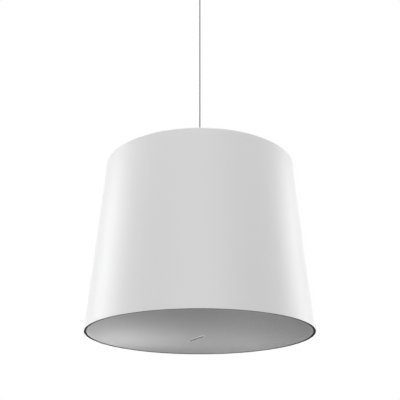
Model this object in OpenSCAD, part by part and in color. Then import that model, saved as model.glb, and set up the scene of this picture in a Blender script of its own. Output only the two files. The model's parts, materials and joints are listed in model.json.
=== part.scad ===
// Pendant speaker: a cone-shaped shade with a coaxial driver, hung on one wire rope.
// Heights called h are measured up from the shade's mouth, and z = 0 is the ceiling.

/* [Shade] */
// Outside diameter of the shade at its mouth
shade_mouth_d = 400; // [390:1:430]
// Outside diameter of the shade at its top
shade_top_d = 350; // [336:1:370]
// Height of the shade
shade_h = 312; // [290:1:340]
// Wall of the shade
shade_wall = 2; // [1.6:0.1:3]
// Rounding of the shade's top edge
shade_edge_r = 1.5; // [0.5:0.1:1.6]
// Width of the flange that turns in at the shade's top
shade_flange_w = 24; // [20:1:28]
// Height of the ledge that the baffle seats on
ledge_h = 46; // [44:1:56]
// Thickness of the ledge
ledge_t = 3; // [2:0.5:5]
// Width of the seat on the ledge
ledge_w = 10; // [8:1:12]

/* [Enclosure] */
// Thickness of the top plate
top_plate_t = 3; // [2:0.5:5]
// Gap from the top plate's edge in to the shade's edge
top_plate_inset = 7; // [5:0.5:10]
// Thickness of the flat gaskets
gasket_t = 1; // [0.5:0.1:1.5]
// Thickness of the baffle
baffle_t = 12; // [10:1:15]
// Width across the flats of the tie bars
tie_bar_af = 11; // [10:0.5:13]
// Gap from the tie bars out to the shade's flange
tie_bar_gap = 6.5; // [4:0.5:12]
// Diameter of the tie bars' screws
tie_screw_d = 6; // [5:0.5:6]
// Thickness of the wadding
wadding_t = 8; // [5:1:8]

/* [Trim ring and grille] */
// Height of the trim ring's lip above the shade's edge
lip_recess = 0.2; // [0.1:0.1:0.6]
// Thickness of the trim ring's lip
lip_t = 0.8; // [0.6:0.1:1.2]
// Distance from the lip's edge out to the shade's outside
lip_inset = 0.9; // [0.6:0.1:1.2]
// Width of the trim ring's face round the grille
ring_face_w = 3.3; // [2.8:0.1:4]
// Thickness of the trim ring's flanges
ring_t = 3; // [2.5:0.5:4]
// Width of the seat behind the grille's rim
grille_seat_w = 10; // [9:0.5:12]
// Thickness of the grille's sheet
grille_t = 1; // [0.8:0.1:1.2]
// Height of the grille's hemmed rim
grille_rim_h = 3.2; // [3:0.1:4.5]
// Diameter of the grille's holes
grille_hole_d = 9; // [6:0.5:12]
// Distance between the rings of holes in the grille
grille_hole_pitch = 29; // [28:0.5:30]
// Rings of holes in the grille
grille_hole_rings = 6; // [4:1:6]
// Thickness of the cloth behind the grille
cloth_t = 0.5; // [0.3:0.1:0.8]
// Diameter of the grille's magnets
grille_magnet_d = 6; // [5:0.5:6]
// Thickness of the grille's magnets
grille_magnet_t = 2; // [1.5:0.1:2.2]
// Length of the plain badge
badge_l = 58; // [48:1:64]
// Width of the plain badge
badge_w = 8; // [6:1:10]
// Angle of the badge
badge_angle = -61; // [-70:1:-50]
// Distance of the badge from the grille's middle towards the back
badge_back = 38; // [30:1:44]
// Distance of the badge from the grille's middle to the left
badge_left = 7; // [0:1:12]

/* [Ceiling fitting] */
// Drop from the ceiling to the shade's mouth
drop = 790; // [700:5:1500]
// Diameter of the canopy cup
canopy_d = 90; // [84:1:100]
// Depth of the canopy cup
canopy_h = 26; // [22:1:32]
// Wall of the canopy cup
canopy_wall = 1.2; // [1:0.1:2]
// Length of the ceiling plate
plate_l = 70; // [64:1:76]
// Width of the ceiling plate
plate_w = 18; // [16:1:22]
// Thickness of the ceiling plate
plate_t = 3; // [2:0.5:4]
// Distance between the ceiling plate's screw holes
plate_hole_gap = 54; // [48:1:56]
// Diameter of the ceiling plate's screw holes
plate_hole_d = 5.2; // [4.5:0.1:6]
// Diameter of the coupler's threaded stud
stud_d = 10; // [8:1:12]
// Outside diameter of the coupler
coupler_d = 20; // [19:0.5:24]
// Length of the coupler's body
coupler_l = 24; // [22:1:30]
// Diameter of the turning barrel
barrel_d = 12; // [11.6:0.1:12.4]
// Length of the barrel below its flange
barrel_l = 20; // [18:1:24]

/* [Rope and gripper] */
// Diameter of the wire rope
rope_d = 2; // [1.6:0.1:2.2]
// Diameter of the ball end
ball_end_d = 8; // [7.6:0.1:8.2]
// Swing of the rope to either side in degrees
swing_deg = 12; // [8:1:14]
// Diameter of the gripper
gripper_d = 17; // [16.5:0.5:20]
// Length of the gripper's body
gripper_l = 30; // [29:1:34]
// Diameter of the gripper's release plunger
plunger_d = 8; // [7.6:0.1:8.2]
// How far the plunger stands out of the gripper
plunger_out = 5; // [4:0.5:8]
// Travel of the release plunger
plunger_travel = 2.5; // [1.5:0.1:2.5]
// Diameter of the gripping balls
grip_ball_d = 3.5; // [3.3:0.05:3.6]

/* [Top of the speaker] */
// Width of the hanging bridge between its legs
bridge_gap = 38; // [34:1:44]
// Height of the hanging bridge
bridge_h = 32; // [30:1:38]
// Depth of the hanging bridge
bridge_depth = 22; // [20:1:28]
// Thickness of the bridge's metal
bridge_t = 3; // [2.5:0.5:4]
// Length of each foot of the bridge
bridge_foot_l = 20; // [18:1:24]
// Diameter of the bracket screws
bracket_screw_d = 5; // [4:0.5:5]
// Diameter of the hole in the safety lug
lug_hole_d = 9; // [8:0.5:10]
// Thickness of the safety lug
lug_t = 4; // [3:0.5:5]
// Distance of the safety lug from the axis
lug_y = 62; // [54:1:80]
// Diameter of the signal cable's inlet
inlet_d = 8; // [6:0.5:9]
// Distance of the inlet from the axis
inlet_x = 66; // [60:1:80]

/* [Woofer] */
// Diameter of the woofer's frame
woofer_d = 210; // [204:1:212]
// Thickness of the woofer's frame
woofer_flange_t = 2; // [1.5:0.1:2.5]
// Width of the woofer's mounting flange
woofer_flange_w = 15; // [14:0.5:16]
// Thickness of the basket's sheet
basket_t = 1.5; // [1.2:0.1:2]
// Depth of the basket
basket_depth = 68; // [66:1:76]
// Diameter of the woofer's magnet
magnet_d = 120; // [110:1:126]
// Thickness of the woofer's magnet
magnet_t = 18; // [15:1:24]
// Thickness of the washer in front of the magnet
washer_t = 6; // [5:0.5:8]
// Thickness of the yoke's back plate
yoke_t = 6; // [5:0.5:8]
// Diameter of the woofer's pole
pole_d = 37; // [36:0.1:37.4]
// Inside diameter of the voice coil's former
former_d = 38.4; // [38.2:0.1:38.6]
// Wall of the voice coil's former
former_t = 0.8; // [0.6:0.1:0.9]
// Thickness of the cone
cone_t = 1; // [0.8:0.1:1.5]
// Depth of the cone
cone_depth = 32; // [30:1:34]
// Radius of the surround's roll
roll_r = 5.5; // [5:0.1:6]

/* [Tweeter] */
// Diameter of the tweeter's pod
pod_d = 34; // [33.6:0.1:35]
// Length of the tweeter's pod
pod_l = 17; // [16.5:0.5:20]
// Diameter of the tweeter's dome
dome_d = 25; // [24.8:0.1:25.2]

/* [Ports] */
// Gap round each port's flare, to the woofer's frame and to the trim ring
port_gap = 7.5; // [6.5:0.5:10.5]
// Wall of the port tubes
port_wall = 2; // [1.5:0.5:3]
// Length of the port tubes above the baffle's face
port_l = 110; // [80:5:120]
// Width of the flare round each port
port_flare_w = 3; // [2:0.5:4]

/* [Electrical] */
// Length of the crossover board
board_l = 92; // [86:1:96]
// Width of the crossover board
board_w = 46; // [44:1:48]
// Thickness of the crossover board
board_t = 1.6; // [1.2:0.1:2]
// Height of the board's pillars
pillar_h = 8; // [6:1:12]
// Shift of the board and the transformer outward from the middle of their room
parts_shift = 1; // [0:0.5:4]
// Width of the line transformer's core
core_l = 56; // [50:1:60]
// Stack of the line transformer's core
core_w = 24; // [20:1:28]
// Height of the line transformer's core
core_h = 48; // [44:1:52]

/* [Hidden] */
$fn = 96;

// Clearances
thread_gap = 0.05;
running_gap = 0.05;
fit_gap = 0.3;
loose_gap = 0.5;
cut = 1;

// Small screws
small_screw_d = 4;
small_head_d = 7.5;
small_head_h = 2.4;
screw_bite = 9;

// Shade
mouth_r = shade_mouth_d / 2;
top_r = shade_top_d / 2;
shade_slope = (mouth_r - top_r) / shade_h;
shade_wall_x = shade_wall * sqrt(1 + shade_slope * shade_slope);
function shade_r(h) = mouth_r - shade_slope * h;
function shade_in_r(h) = shade_r(h) - shade_wall_x;
ledge_in_r = shade_in_r(ledge_h) - ledge_w;
flange_in_r = top_r - shade_flange_w;

// Enclosure
baffle_top = ledge_h - gasket_t;
baffle_h = baffle_top - baffle_t;
baffle_r = shade_in_r(baffle_top) - loose_gap;
plate_h = shade_h + gasket_t;
plate_top = plate_h + top_plate_t;
top_plate_r = top_r - top_plate_inset;
tie_bar_r = flange_in_r - tie_bar_gap - tie_bar_af / sqrt(3);
tie_head_d = tie_screw_d * 2;
tie_head_h = tie_screw_d / 4;
tie_screw_l = 16;
wadding_gap = 1;
wadding_low = ledge_h + ledge_t;
wadding_high = shade_h - shade_wall - wadding_gap;
function wadding_in_r(h) = shade_in_r(h) - fit_gap - wadding_t;

// Trim ring and grille
lip_top = lip_recess + lip_t;
lip_r = shade_r(lip_top) - lip_inset;
lip_gap = 0.15;
function shade_skin_r(h) = shade_r(h) - lip_inset + lip_gap;
pocket_r = lip_r - ring_face_w;
rim_r = pocket_r - fit_gap;
grille_face_h = lip_recess + fit_gap;
seat_h = grille_face_h + grille_rim_h;
ring_band_w = 3;
seat_in_r = pocket_r - grille_seat_w;
ring_screw_r = seat_in_r - 5;
ring_flange_in_r = ring_screw_r - 5.5;
hem_in_r = seat_in_r + loose_gap;
rim_wall = 1.5;
hem_t = 0.8;
rim_edge_r = 1;
hole_spread = 1.1;
magnet_place_r = (seat_in_r + pocket_r) / 2;
badge_t = 0.3;

// Ceiling fitting, with z measured from the ceiling
canopy_r = canopy_d / 2;
canopy_edge_r = 3;
coupler_top = -canopy_h;
coupler_low = coupler_top - coupler_l;
collar_wall = 5;
collar_low = coupler_low - collar_wall;
spigot_h = 4;
chamber_r = coupler_d / 2 - 1.8;
barrel_r = barrel_d / 2;
barrel_flange_r = chamber_r - 0.2;
barrel_flange_t = 3;
barrel_seat = coupler_low + spigot_h + 0.1;
barrel_top = barrel_seat + barrel_flange_t;
barrel_low = barrel_seat - barrel_l;
pivot_z = barrel_seat - 6;
ball_end_r = ball_end_d / 2;
rope_r = rope_d / 2;
flare_room = 0.4;
flare_l = pivot_z - barrel_low;
flare_low_r = flare_l * tan(swing_deg) + rope_r / cos(swing_deg) + flare_room;

// Gripper, with heights measured up from the mouth
bridge_top = plate_top + bridge_h;
web_low = bridge_top - bridge_t;
gripper_r = gripper_d / 2;
gripper_low = bridge_top;
gripper_top = gripper_low + gripper_l;
gripper_stud_d = 10;
stud_head_h = 4;
gripper_nut_h = 6;
gripper_nut_af = 16;
chamber_in_r = gripper_r - 2;
plunger_r = plunger_d / 2;
plunger_hole_r = plunger_r + running_gap + 0.03;
cone_top = gripper_top - 11;
cone_l = 12;
cone_top_r = plunger_hole_r + 0.1;
cone_low_r = chamber_in_r - 0.1;
grip_ball_r = grip_ball_d / 2;
grip_ball_out = rope_r + 0.1 + grip_ball_r;
cone_wide = (cone_low_r - cone_top_r) / cone_l;
grip_ball_h = cone_top - (grip_ball_out + (grip_ball_r + 0.1) * sqrt(1 + cone_wide * cone_wide)
  - cone_top_r) / cone_wide;
spring_wire_d = 0.8;
spring_r = 3.4;
spring_turns = 4;
spring_l = spring_wire_d * (spring_turns + 1) + plunger_travel + loose_gap;
spring_low = gripper_low + stud_head_h;
plunger_low = spring_low + spring_l;
plunger_flange_r = plunger_r + 0.8;
tail_end = web_low - gripper_nut_h - 4;
ferrule_h = 5;
ferrule_r = rope_r + 0.9;

// Top of the speaker
foot_screw_x = bridge_gap / 2 + bridge_foot_l / 2 + 2;
bracket_head_h = 3;
bracket_nut_h = 4;
bracket_tail = 1.5;
foot_places = [[-foot_screw_x, 0], [foot_screw_x, 0]];
lug_l = 20;
lug_h = 30;
lug_foot_l = 24;
lug_screw_x = lug_t / 2 + lug_foot_l / 2;
lug_hole_h = 20;
lug_place = [lug_screw_x, lug_y];
gland_thread_r = inlet_d / 2 + 3.8;
gland_flange_h = 5;
gland_neck_h = 8;
gland_below = 9;
terminal_x = inlet_x + 40;
terminal_l = 40;
terminal_w = 16;
terminal_h = 14;

// Woofer, with heights measured up from its own face
woofer_face = baffle_h - gasket_t - woofer_flange_t;
woofer_r = woofer_d / 2;
basket_mouth_r = woofer_r - woofer_flange_w;
cutout_r = basket_mouth_r + 2;
woofer_screw_r = woofer_r - 4.2;
woofer_screw_count = 8;
landing_h = 42;
landing_out_r = 66;
basket_neck_r = 52;
basket_back_r = 25;
magnet_r = magnet_d / 2;
magnet_in_r = 30;
washer_r = magnet_r - 8;
former_r = former_d / 2;
former_out_r = former_r + former_t;
former_low = 28;
former_high = basket_depth + washer_t + 8;
winding_t = 0.5;
winding_gap = 0.4;
washer_in_r = former_out_r + winding_t + winding_gap;
pole_r = pole_d / 2;
washer_mid = basket_depth + washer_t / 2;
winding_h = 14;
cone_edge_r = basket_mouth_r - 2 * roll_r;
cone_lip_w = 7;
spider_waves = 3;
magnet_top = basket_depth + washer_t + magnet_t;

// Tweeter, with heights measured up from the woofer's face
pod_r = pod_d / 2;
pod_back = 30;
pod_low = pod_back - pod_l;
pod_wall = 1.7;
pod_in_r = pod_r - pod_wall;
bezel_t = 2;
dome_r = dome_d / 2;
tweeter_yoke_t = 2.5;
tweeter_yoke_top = pod_back - 3;
tweeter_yoke_h = 8.5;
tweeter_magnet_t = 4;
tweeter_washer_t = 2;
tweeter_gap_r = dome_r + 0.5;
lead_bore_r = 3;
pod_stem_r = 8;

// Ports
port_top = baffle_h + port_l;
port_out_r = min(ring_flange_in_r - port_gap, wadding_in_r(port_top) - wadding_gap + port_flare_w);
port_inner_r = woofer_r + port_gap;
port_x = (port_out_r + port_inner_r) / 2;
port_flare_r = (port_out_r - port_inner_r) / 2;
port_r = port_flare_r - port_flare_w;
port_flare_t = 2;

// Electrical
pillar_d = 6;
pillar_screw_d = 3;
pillar_inset = 6;
pillar_x = board_l / 2 - pillar_inset;
pillar_y = board_w / 2 - pillar_inset;
board_h = baffle_top + pillar_h;
board_coil_r = 15;
board_coil_in_r = 5;
board_coil_h = 20;
board_coil_y = 2;
capacitor_d = 9;
capacitor_h = 22;
capacitor_x = (board_l - capacitor_d) / 2 - loose_gap;
parts_edge_r = wadding_in_r(board_h + board_t + capacitor_h);
parts_edge_y = sqrt(parts_edge_r * parts_edge_r - board_l * board_l / 4);
parts_y = (cutout_r + parts_edge_y) / 2 + parts_shift;
core_foot_t = 2;
core_foot_l = 10;
core_h_low = baffle_top + core_foot_t;
core_limb = core_l / 6;

// Lifts what is measured from the shade's mouth to its place below the ceiling.
module hung() {
  translate([0, 0, -drop]) children();
}

// Lifts what is measured from the woofer's face.
module on_woofer() {
  hung() translate([0, 0, woofer_face]) children();
}

// Copies its children evenly round the axis.
module round_axis(count, first = 0) {
  for (i = [0:count - 1]) rotate([0, 0, first + i * 360 / count]) children();
}

// A ring between two radii and two heights.
module ring(r_in, r_out, low, high) {
  rotate_extrude() polygon([[r_in, low], [r_out, low], [r_out, high], [r_in, high]]);
}

// A hexagonal prism by its width across the flats.
module hexagon(af, low, high) {
  translate([0, 0, low]) cylinder(r = af / sqrt(3), h = high - low, $fn = 6);
}

// A screw with its head's seat at z = 0, its head above and its shank below.
module screw(d, head_d, head_h, l) {
  cylinder(d = head_d, h = head_h, $fn = 32);
  translate([0, 0, -l]) cylinder(d = d, h = l + head_h / 2, $fn = 32);
}

// A countersunk screw with its flat top at z = 0.
module flat_screw(d, head_d, head_h, l) {
  rotate_extrude($fn = 48)
    polygon([[0, 0], [head_d / 2, 0], [d / 2, -head_h * 2], [d / 2, -l], [0, -l]]);
}

// The hole for a countersunk screw.
module flat_screw_hole(d, head_d, head_h, l) {
  rotate_extrude($fn = 48) polygon([
    [0, cut], [head_d / 2 + thread_gap, cut], [head_d / 2 + thread_gap, 0],
    [d / 2 + thread_gap, -head_h * 2], [d / 2 + thread_gap, -l - cut], [0, -l - cut]
  ]);
}

// A tube swept along a route's points, with rings a set distance apart.
function along(a, b, t) = a + (b - a) * t;
module swept_rope(route, r, step) {
  legs = len(route) - 1;
  rings = [for (k = [0:legs - 1])
    let (n = max(1, ceil(norm(route[k + 1] - route[k]) / step)))
    for (i = [0:n - (k == legs - 1 ? 0 : 1)]) along(route[k], route[k + 1], i / n)];
  sides = 8;
  points = [for (p = rings) for (s = [0:sides - 1])
    p + r * [cos(s * 360 / sides), sin(s * 360 / sides), 0]];
  last = (len(rings) - 1) * sides;
  faces = concat(
    [[for (s = [0:sides - 1]) s]],
    [for (i = [0:len(rings) - 2]) for (s = [0:sides - 1])
      [i * sides + s, (i + 1) * sides + s, (i + 1) * sides + (s + 1) % sides, i * sides + (s + 1) % sides]],
    [[for (s = [sides - 1:-1:0]) last + s]]
  );
  polyhedron(points, faces);
}

// A coil spring standing on z = 0.
module coil_spring(r, wire_d, l, turns) {
  per_turn = 16;
  sides = 8;
  count = turns * per_turn;
  rise = (l - wire_d) / count;
  points = [for (i = [0:count]) for (s = [0:sides - 1])
    let (a = i * 360 / per_turn, b = s * 360 / sides, q = r + wire_d / 2 * cos(b))
    [q * cos(a), q * sin(a), wire_d / 2 + i * rise + wire_d / 2 * sin(b)]];
  last = count * sides;
  faces = concat(
    [[for (s = [sides - 1:-1:0]) s]],
    [for (i = [0:count - 1]) for (s = [0:sides - 1])
      [i * sides + s, i * sides + (s + 1) % sides, (i + 1) * sides + (s + 1) % sides, (i + 1) * sides + s]],
    [[for (s = [0:sides - 1]) last + s]]
  );
  polyhedron(points, faces);
}

// Ceiling fitting
module ceiling_plate() {
  color("silver") difference() {
    translate([-plate_l / 2, -plate_w / 2, -plate_t]) cube([plate_l, plate_w, plate_t]);
    for (x = [-1, 1] * plate_hole_gap / 2)
      translate([x, 0, -plate_t - cut]) cylinder(d = plate_hole_d, h = plate_t + 2 * cut);
    translate([0, 0, -plate_t - cut]) cylinder(d = stud_d + 2 * thread_gap, h = plate_t + 2 * cut);
  }
}

module canopy_cup() {
  edge = canopy_edge_r;
  color("white") rotate_extrude() difference() {
    union() {
      translate([0, -canopy_h + edge]) square([canopy_r, canopy_h - edge]);
      translate([0, -canopy_h]) square([canopy_r - edge, edge + cut]);
      translate([canopy_r - edge, -canopy_h + edge]) circle(r = edge, $fn = 48);
    }
    translate([-cut, -canopy_h + canopy_wall]) square([canopy_r - edge + cut, canopy_h]);
    translate([-cut, -canopy_h + edge]) square([canopy_r - canopy_wall + cut, canopy_h]);
    translate([canopy_r - edge, -canopy_h + edge]) circle(r = edge - canopy_wall, $fn = 48);
    translate([-cut, -canopy_h - cut]) square([stud_d / 2 + fit_gap + cut, canopy_h]);
  }
}

module coupler_body() {
  color("silver") difference() {
    union() {
      translate([0, 0, coupler_low]) cylinder(d = coupler_d, h = coupler_l);
      translate([0, 0, coupler_top - cut]) cylinder(d = stud_d, h = canopy_h + cut);
    }
    translate([0, 0, coupler_low - cut])
      cylinder(r = chamber_r, h = barrel_top - coupler_low + 4 + cut);
  }
}

module coupler_collar() {
  bore_r = barrel_r + running_gap;
  color("gainsboro") rotate_extrude() polygon([
    [bore_r, collar_low], [coupler_d / 2 - 1, collar_low], [coupler_d / 2, collar_low + 1],
    [coupler_d / 2, coupler_low], [chamber_r - thread_gap, coupler_low],
    [chamber_r - thread_gap, coupler_low + spigot_h], [bore_r, coupler_low + spigot_h]
  ]);
}

module coupler_barrel() {
  well_r = ball_end_r + running_gap;
  color("silver") difference() {
    union() {
      translate([0, 0, barrel_seat]) cylinder(r = barrel_flange_r, h = barrel_flange_t);
      translate([0, 0, barrel_low]) cylinder(r = barrel_r, h = barrel_l + cut);
    }
    translate([0, 0, pivot_z]) cylinder(r = well_r, h = barrel_top - pivot_z + cut);
    translate([0, 0, pivot_z]) sphere(r = well_r);
    translate([0, 0, barrel_low - cut]) cylinder(
      r1 = flare_low_r + cut * tan(swing_deg), r2 = rope_r + flare_room, h = flare_l + cut
    );
  }
}

// Rope
rope_route = [[0, 0, pivot_z - 1], [0, 0, tail_end - drop]];
module suspension_rope() {
  color("dimgray") swept_rope(rope_route, rope_r, 3 * rope_d);
}

module rope_ball_end() {
  color("gray") difference() {
    translate([0, 0, pivot_z]) sphere(r = ball_end_r);
    translate([0, 0, pivot_z - ball_end_r - cut])
      cylinder(r = rope_r + thread_gap, h = ball_end_r + cut - 1);
  }
}

module rope_ferrule() {
  color("gray") hung() translate([0, 0, tail_end - 1]) difference() {
    cylinder(r = ferrule_r, h = ferrule_h);
    translate([0, 0, 1]) cylinder(r = rope_r + thread_gap, h = ferrule_h);
  }
}

// Gripper
module gripper_body() {
  color("silver") hung() rotate_extrude() polygon([
    [chamber_in_r, gripper_low], [gripper_r, gripper_low], [gripper_r, gripper_top - 2],
    [gripper_r - 2, gripper_top], [plunger_hole_r, gripper_top], [plunger_hole_r, cone_top],
    [cone_top_r, cone_top], [cone_low_r, cone_top - cone_l], [chamber_in_r, cone_top - cone_l]
  ]);
}

module gripper_stud() {
  color("gainsboro") hung() difference() {
    union() {
      translate([0, 0, gripper_low])
        cylinder(r = chamber_in_r - thread_gap, h = stud_head_h);
      translate([0, 0, web_low - gripper_nut_h])
        cylinder(d = gripper_stud_d, h = gripper_nut_h + bridge_t + cut);
    }
    translate([0, 0, web_low - gripper_nut_h - cut])
      cylinder(r = rope_r + fit_gap, h = gripper_nut_h + bridge_t + stud_head_h + 2 * cut);
  }
}

module gripper_nut() {
  color("silver") hung() difference() {
    hexagon(gripper_nut_af, web_low - gripper_nut_h, web_low);
    translate([0, 0, web_low - gripper_nut_h - cut])
      cylinder(d = gripper_stud_d + 2 * thread_gap, h = gripper_nut_h + 2 * cut);
  }
}

module release_plunger() {
  color("goldenrod") hung() difference() {
    union() {
      translate([0, 0, plunger_low]) cylinder(r = plunger_r, h = gripper_top + plunger_out - plunger_low);
      translate([0, 0, plunger_low]) cylinder(r = plunger_flange_r, h = 1.2);
    }
    translate([0, 0, plunger_low - cut])
      cylinder(r = rope_r + 0.4, h = gripper_top + plunger_out - plunger_low + 2 * cut);
    round_axis(3) translate([0, 0, grip_ball_h]) rotate([0, 90, 0])
      cylinder(r = grip_ball_r + 0.1, h = gripper_r);
  }
}

module gripping_balls() {
  color("gray") hung() round_axis(3)
    translate([grip_ball_out, 0, grip_ball_h]) sphere(r = grip_ball_r, $fn = 32);
}

module release_spring() {
  color("silver") hung() translate([0, 0, spring_low])
    coil_spring(spring_r, spring_wire_d, spring_l, spring_turns);
}

// Top of the speaker
module hanging_bridge() {
  half = bridge_gap / 2;
  color("silver") hung() translate([0, 0, plate_top]) difference() {
    union() {
      for (side = [0, 1]) mirror([side, 0, 0]) {
        translate([half, -bridge_depth / 2, 0]) cube([bridge_foot_l, bridge_depth, bridge_t]);
        translate([half, -bridge_depth / 2, 0]) cube([bridge_t, bridge_depth, bridge_h]);
      }
      translate([-half - cut, -bridge_depth / 2, bridge_h - bridge_t])
        cube([bridge_gap + 2 * cut, bridge_depth, bridge_t]);
    }
    translate([0, 0, bridge_h - bridge_t - cut])
      cylinder(d = gripper_stud_d + 2 * thread_gap, h = bridge_t + 2 * cut);
    for (place = foot_places)
      translate(concat(place, -cut)) cylinder(d = bracket_screw_d + 2 * thread_gap, h = bridge_t + 2 * cut);
  }
}

module bracket_screws() {
  head_d = bracket_screw_d * 1.8;
  below = top_plate_t + bracket_nut_h + bracket_tail;
  color("gainsboro") hung() {
    for (place = foot_places) translate(concat(place, plate_top + bridge_t))
      screw(bracket_screw_d, head_d, bracket_head_h, below + bridge_t);
    translate(concat(lug_place, plate_top + lug_t))
      screw(bracket_screw_d, head_d, bracket_head_h, below + lug_t);
  }
}

module bracket_nuts() {
  color("silver") hung() for (place = concat(foot_places, [lug_place]))
    translate(concat(place, plate_h - bracket_nut_h)) difference() {
      hexagon(bracket_screw_d * 1.6, 0, bracket_nut_h);
      translate([0, 0, -cut]) cylinder(d = bracket_screw_d + 2 * thread_gap, h = bracket_nut_h + 2 * cut);
    }
}

module safety_lug() {
  color("silver") hung() translate([0, lug_y, plate_top]) difference() {
    union() {
      translate([-lug_t / 2, -lug_l / 2, 0]) cube([lug_t, lug_l, lug_hole_h]);
      translate([-lug_t / 2, 0, lug_hole_h]) rotate([0, 90, 0]) cylinder(d = lug_l, h = lug_t);
      translate([-lug_t / 2, -lug_l / 2, 0]) cube([lug_foot_l + lug_t / 2, lug_l, lug_t]);
    }
    translate([-lug_t, 0, lug_hole_h]) rotate([0, 90, 0]) cylinder(d = lug_hole_d, h = 2 * lug_t);
    translate([lug_screw_x, 0, -cut])
      cylinder(d = bracket_screw_d + 2 * thread_gap, h = lug_t + 2 * cut);
  }
}

module cable_gland() {
  color("dimgray") hung() translate([-inlet_x, 0, plate_top]) difference() {
    union() {
      translate([0, 0, -top_plate_t - gland_below])
        cylinder(r = gland_thread_r, h = top_plate_t + gland_below + cut);
      hexagon(gland_thread_r * 2.6, 0, gland_flange_h);
      translate([0, 0, gland_flange_h - cut]) cylinder(r = gland_thread_r, h = gland_neck_h + cut);
    }
    translate([0, 0, -top_plate_t - gland_below - cut])
      cylinder(d = inlet_d, h = top_plate_t + gland_below + gland_flange_h + gland_neck_h + 2 * cut);
  }
}

module gland_cap() {
  cap_r = gland_thread_r + 2;
  color("dimgray") hung() translate([-inlet_x, 0, plate_top + gland_flange_h]) rotate_extrude()
    polygon([
      [gland_thread_r + thread_gap, 0], [cap_r, 0], [cap_r, gland_neck_h],
      [cap_r - 4, gland_neck_h + 5], [inlet_d / 2 + 0.5, gland_neck_h + 5],
      [inlet_d / 2 + 0.5, gland_neck_h], [gland_thread_r + thread_gap, gland_neck_h]
    ]);
}

module gland_nut() {
  nut_h = 5;
  color("dimgray") hung() translate([-inlet_x, 0, plate_h - nut_h]) difference() {
    hexagon(gland_thread_r * 2.6, 0, nut_h);
    translate([0, 0, -cut]) cylinder(r = gland_thread_r + thread_gap, h = nut_h + 2 * cut);
  }
}

module terminal_block() {
  color("seagreen") hung() translate([-terminal_x, 0, plate_h - terminal_h]) difference() {
    translate([-terminal_w / 2, -terminal_l / 2, 0]) cube([terminal_w, terminal_l, terminal_h]);
    for (i = [-1.5:1:1.5]) translate([0, i * terminal_l / 4, 0]) {
      translate([0, 0, -cut]) cylinder(d = 5, h = 6, $fn = 32);
      translate([terminal_w / 2 - 6, 0, terminal_h / 2 + 2]) rotate([0, 90, 0])
        cylinder(d = 4, h = 8, $fn = 32);
    }
  }
}

// Enclosure
module shade() {
  inner_top = shade_h - shade_wall;
  edge_r = min(shade_edge_r, shade_wall * 0.8);
  edge_x = top_r - edge_r;
  ledge_top = ledge_h + ledge_t;
  color("white") hung() rotate_extrude($fn = 180) polygon(concat(
    [
      [shade_in_r(lip_top), lip_top], [shade_skin_r(lip_top), lip_top],
      [shade_skin_r(0), 0], [shade_r(0), 0]
    ],
    [for (a = [0:15:90]) [edge_x + edge_r * cos(a), shade_h - edge_r + edge_r * sin(a)]],
    [
      [flange_in_r, shade_h], [flange_in_r, inner_top], [shade_in_r(inner_top), inner_top],
      [shade_in_r(ledge_top), ledge_top], [ledge_in_r, ledge_top], [ledge_in_r, ledge_h],
      [shade_in_r(ledge_h), ledge_h]
    ]
  ));
}

module top_plate() {
  color("white") hung() difference() {
    translate([0, 0, plate_h]) cylinder(r = top_plate_r, h = top_plate_t, $fn = 180);
    round_axis(4, 45) translate([tie_bar_r, 0, plate_top])
      flat_screw_hole(tie_screw_d, tie_head_d, tie_head_h, top_plate_t);
    for (place = concat(foot_places, [lug_place]))
      translate(concat(place, plate_h - cut))
        cylinder(d = bracket_screw_d + 2 * thread_gap, h = top_plate_t + 2 * cut);
    translate([-inlet_x, 0, plate_h - cut])
      cylinder(r = gland_thread_r + thread_gap, h = top_plate_t + 2 * cut);
  }
}

module top_gasket() {
  color("black") hung() ring(flange_in_r, top_plate_r - 1, shade_h, plate_h);
}

module baffle() {
  color("dimgray") hung() difference() {
    translate([0, 0, baffle_h]) cylinder(r = baffle_r, h = baffle_t, $fn = 180);
    translate([0, 0, baffle_h - cut]) cylinder(r = cutout_r, h = baffle_t + 2 * cut);
    for (side = [0, 1]) mirror([side, 0, 0]) translate([port_x, 0, baffle_h - cut])
      cylinder(r = port_r + thread_gap, h = baffle_t + 2 * cut);
    round_axis(4, 45) translate([tie_bar_r, 0, baffle_h]) mirror([0, 0, 1])
      flat_screw_hole(tie_screw_d, tie_head_d, tie_head_h, baffle_t);
    round_axis(woofer_screw_count, 22.5) translate([woofer_screw_r, 0, baffle_h - cut])
      cylinder(d = small_screw_d + 2 * thread_gap, h = screw_bite + loose_gap + cut, $fn = 32);
    round_axis(8, 22.5) translate([ring_screw_r, 0, baffle_h - cut])
      cylinder(d = small_screw_d + 2 * thread_gap, h = screw_bite + loose_gap + cut, $fn = 32);
  }
}

module baffle_gasket() {
  color("black") hung() ring(ledge_in_r, baffle_r - 1, baffle_top, ledge_h);
}

module tie_bars() {
  color("silver") hung() round_axis(4, 45) translate([tie_bar_r, 0, 0]) difference() {
    hexagon(tie_bar_af, baffle_top, plate_h);
    for (end = [baffle_top - cut, plate_h - tie_screw_l]) translate([0, 0, end])
      cylinder(d = tie_screw_d + 2 * thread_gap, h = tie_screw_l + cut, $fn = 32);
  }
}

module tie_bar_screws() {
  color("gainsboro") hung() round_axis(4, 45) translate([tie_bar_r, 0, 0]) {
    translate([0, 0, plate_top]) flat_screw(tie_screw_d, tie_head_d, tie_head_h, tie_screw_l);
    translate([0, 0, baffle_h]) mirror([0, 0, 1])
      flat_screw(tie_screw_d, tie_head_d, tie_head_h, baffle_t + tie_screw_l - 2);
  }
}

module wadding() {
  color("beige") hung() rotate_extrude() polygon([
    [wadding_in_r(wadding_low), wadding_low],
    [shade_in_r(wadding_low) - fit_gap, wadding_low],
    [shade_in_r(wadding_high) - fit_gap, wadding_high],
    [wadding_in_r(wadding_high), wadding_high]
  ]);
}

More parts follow.
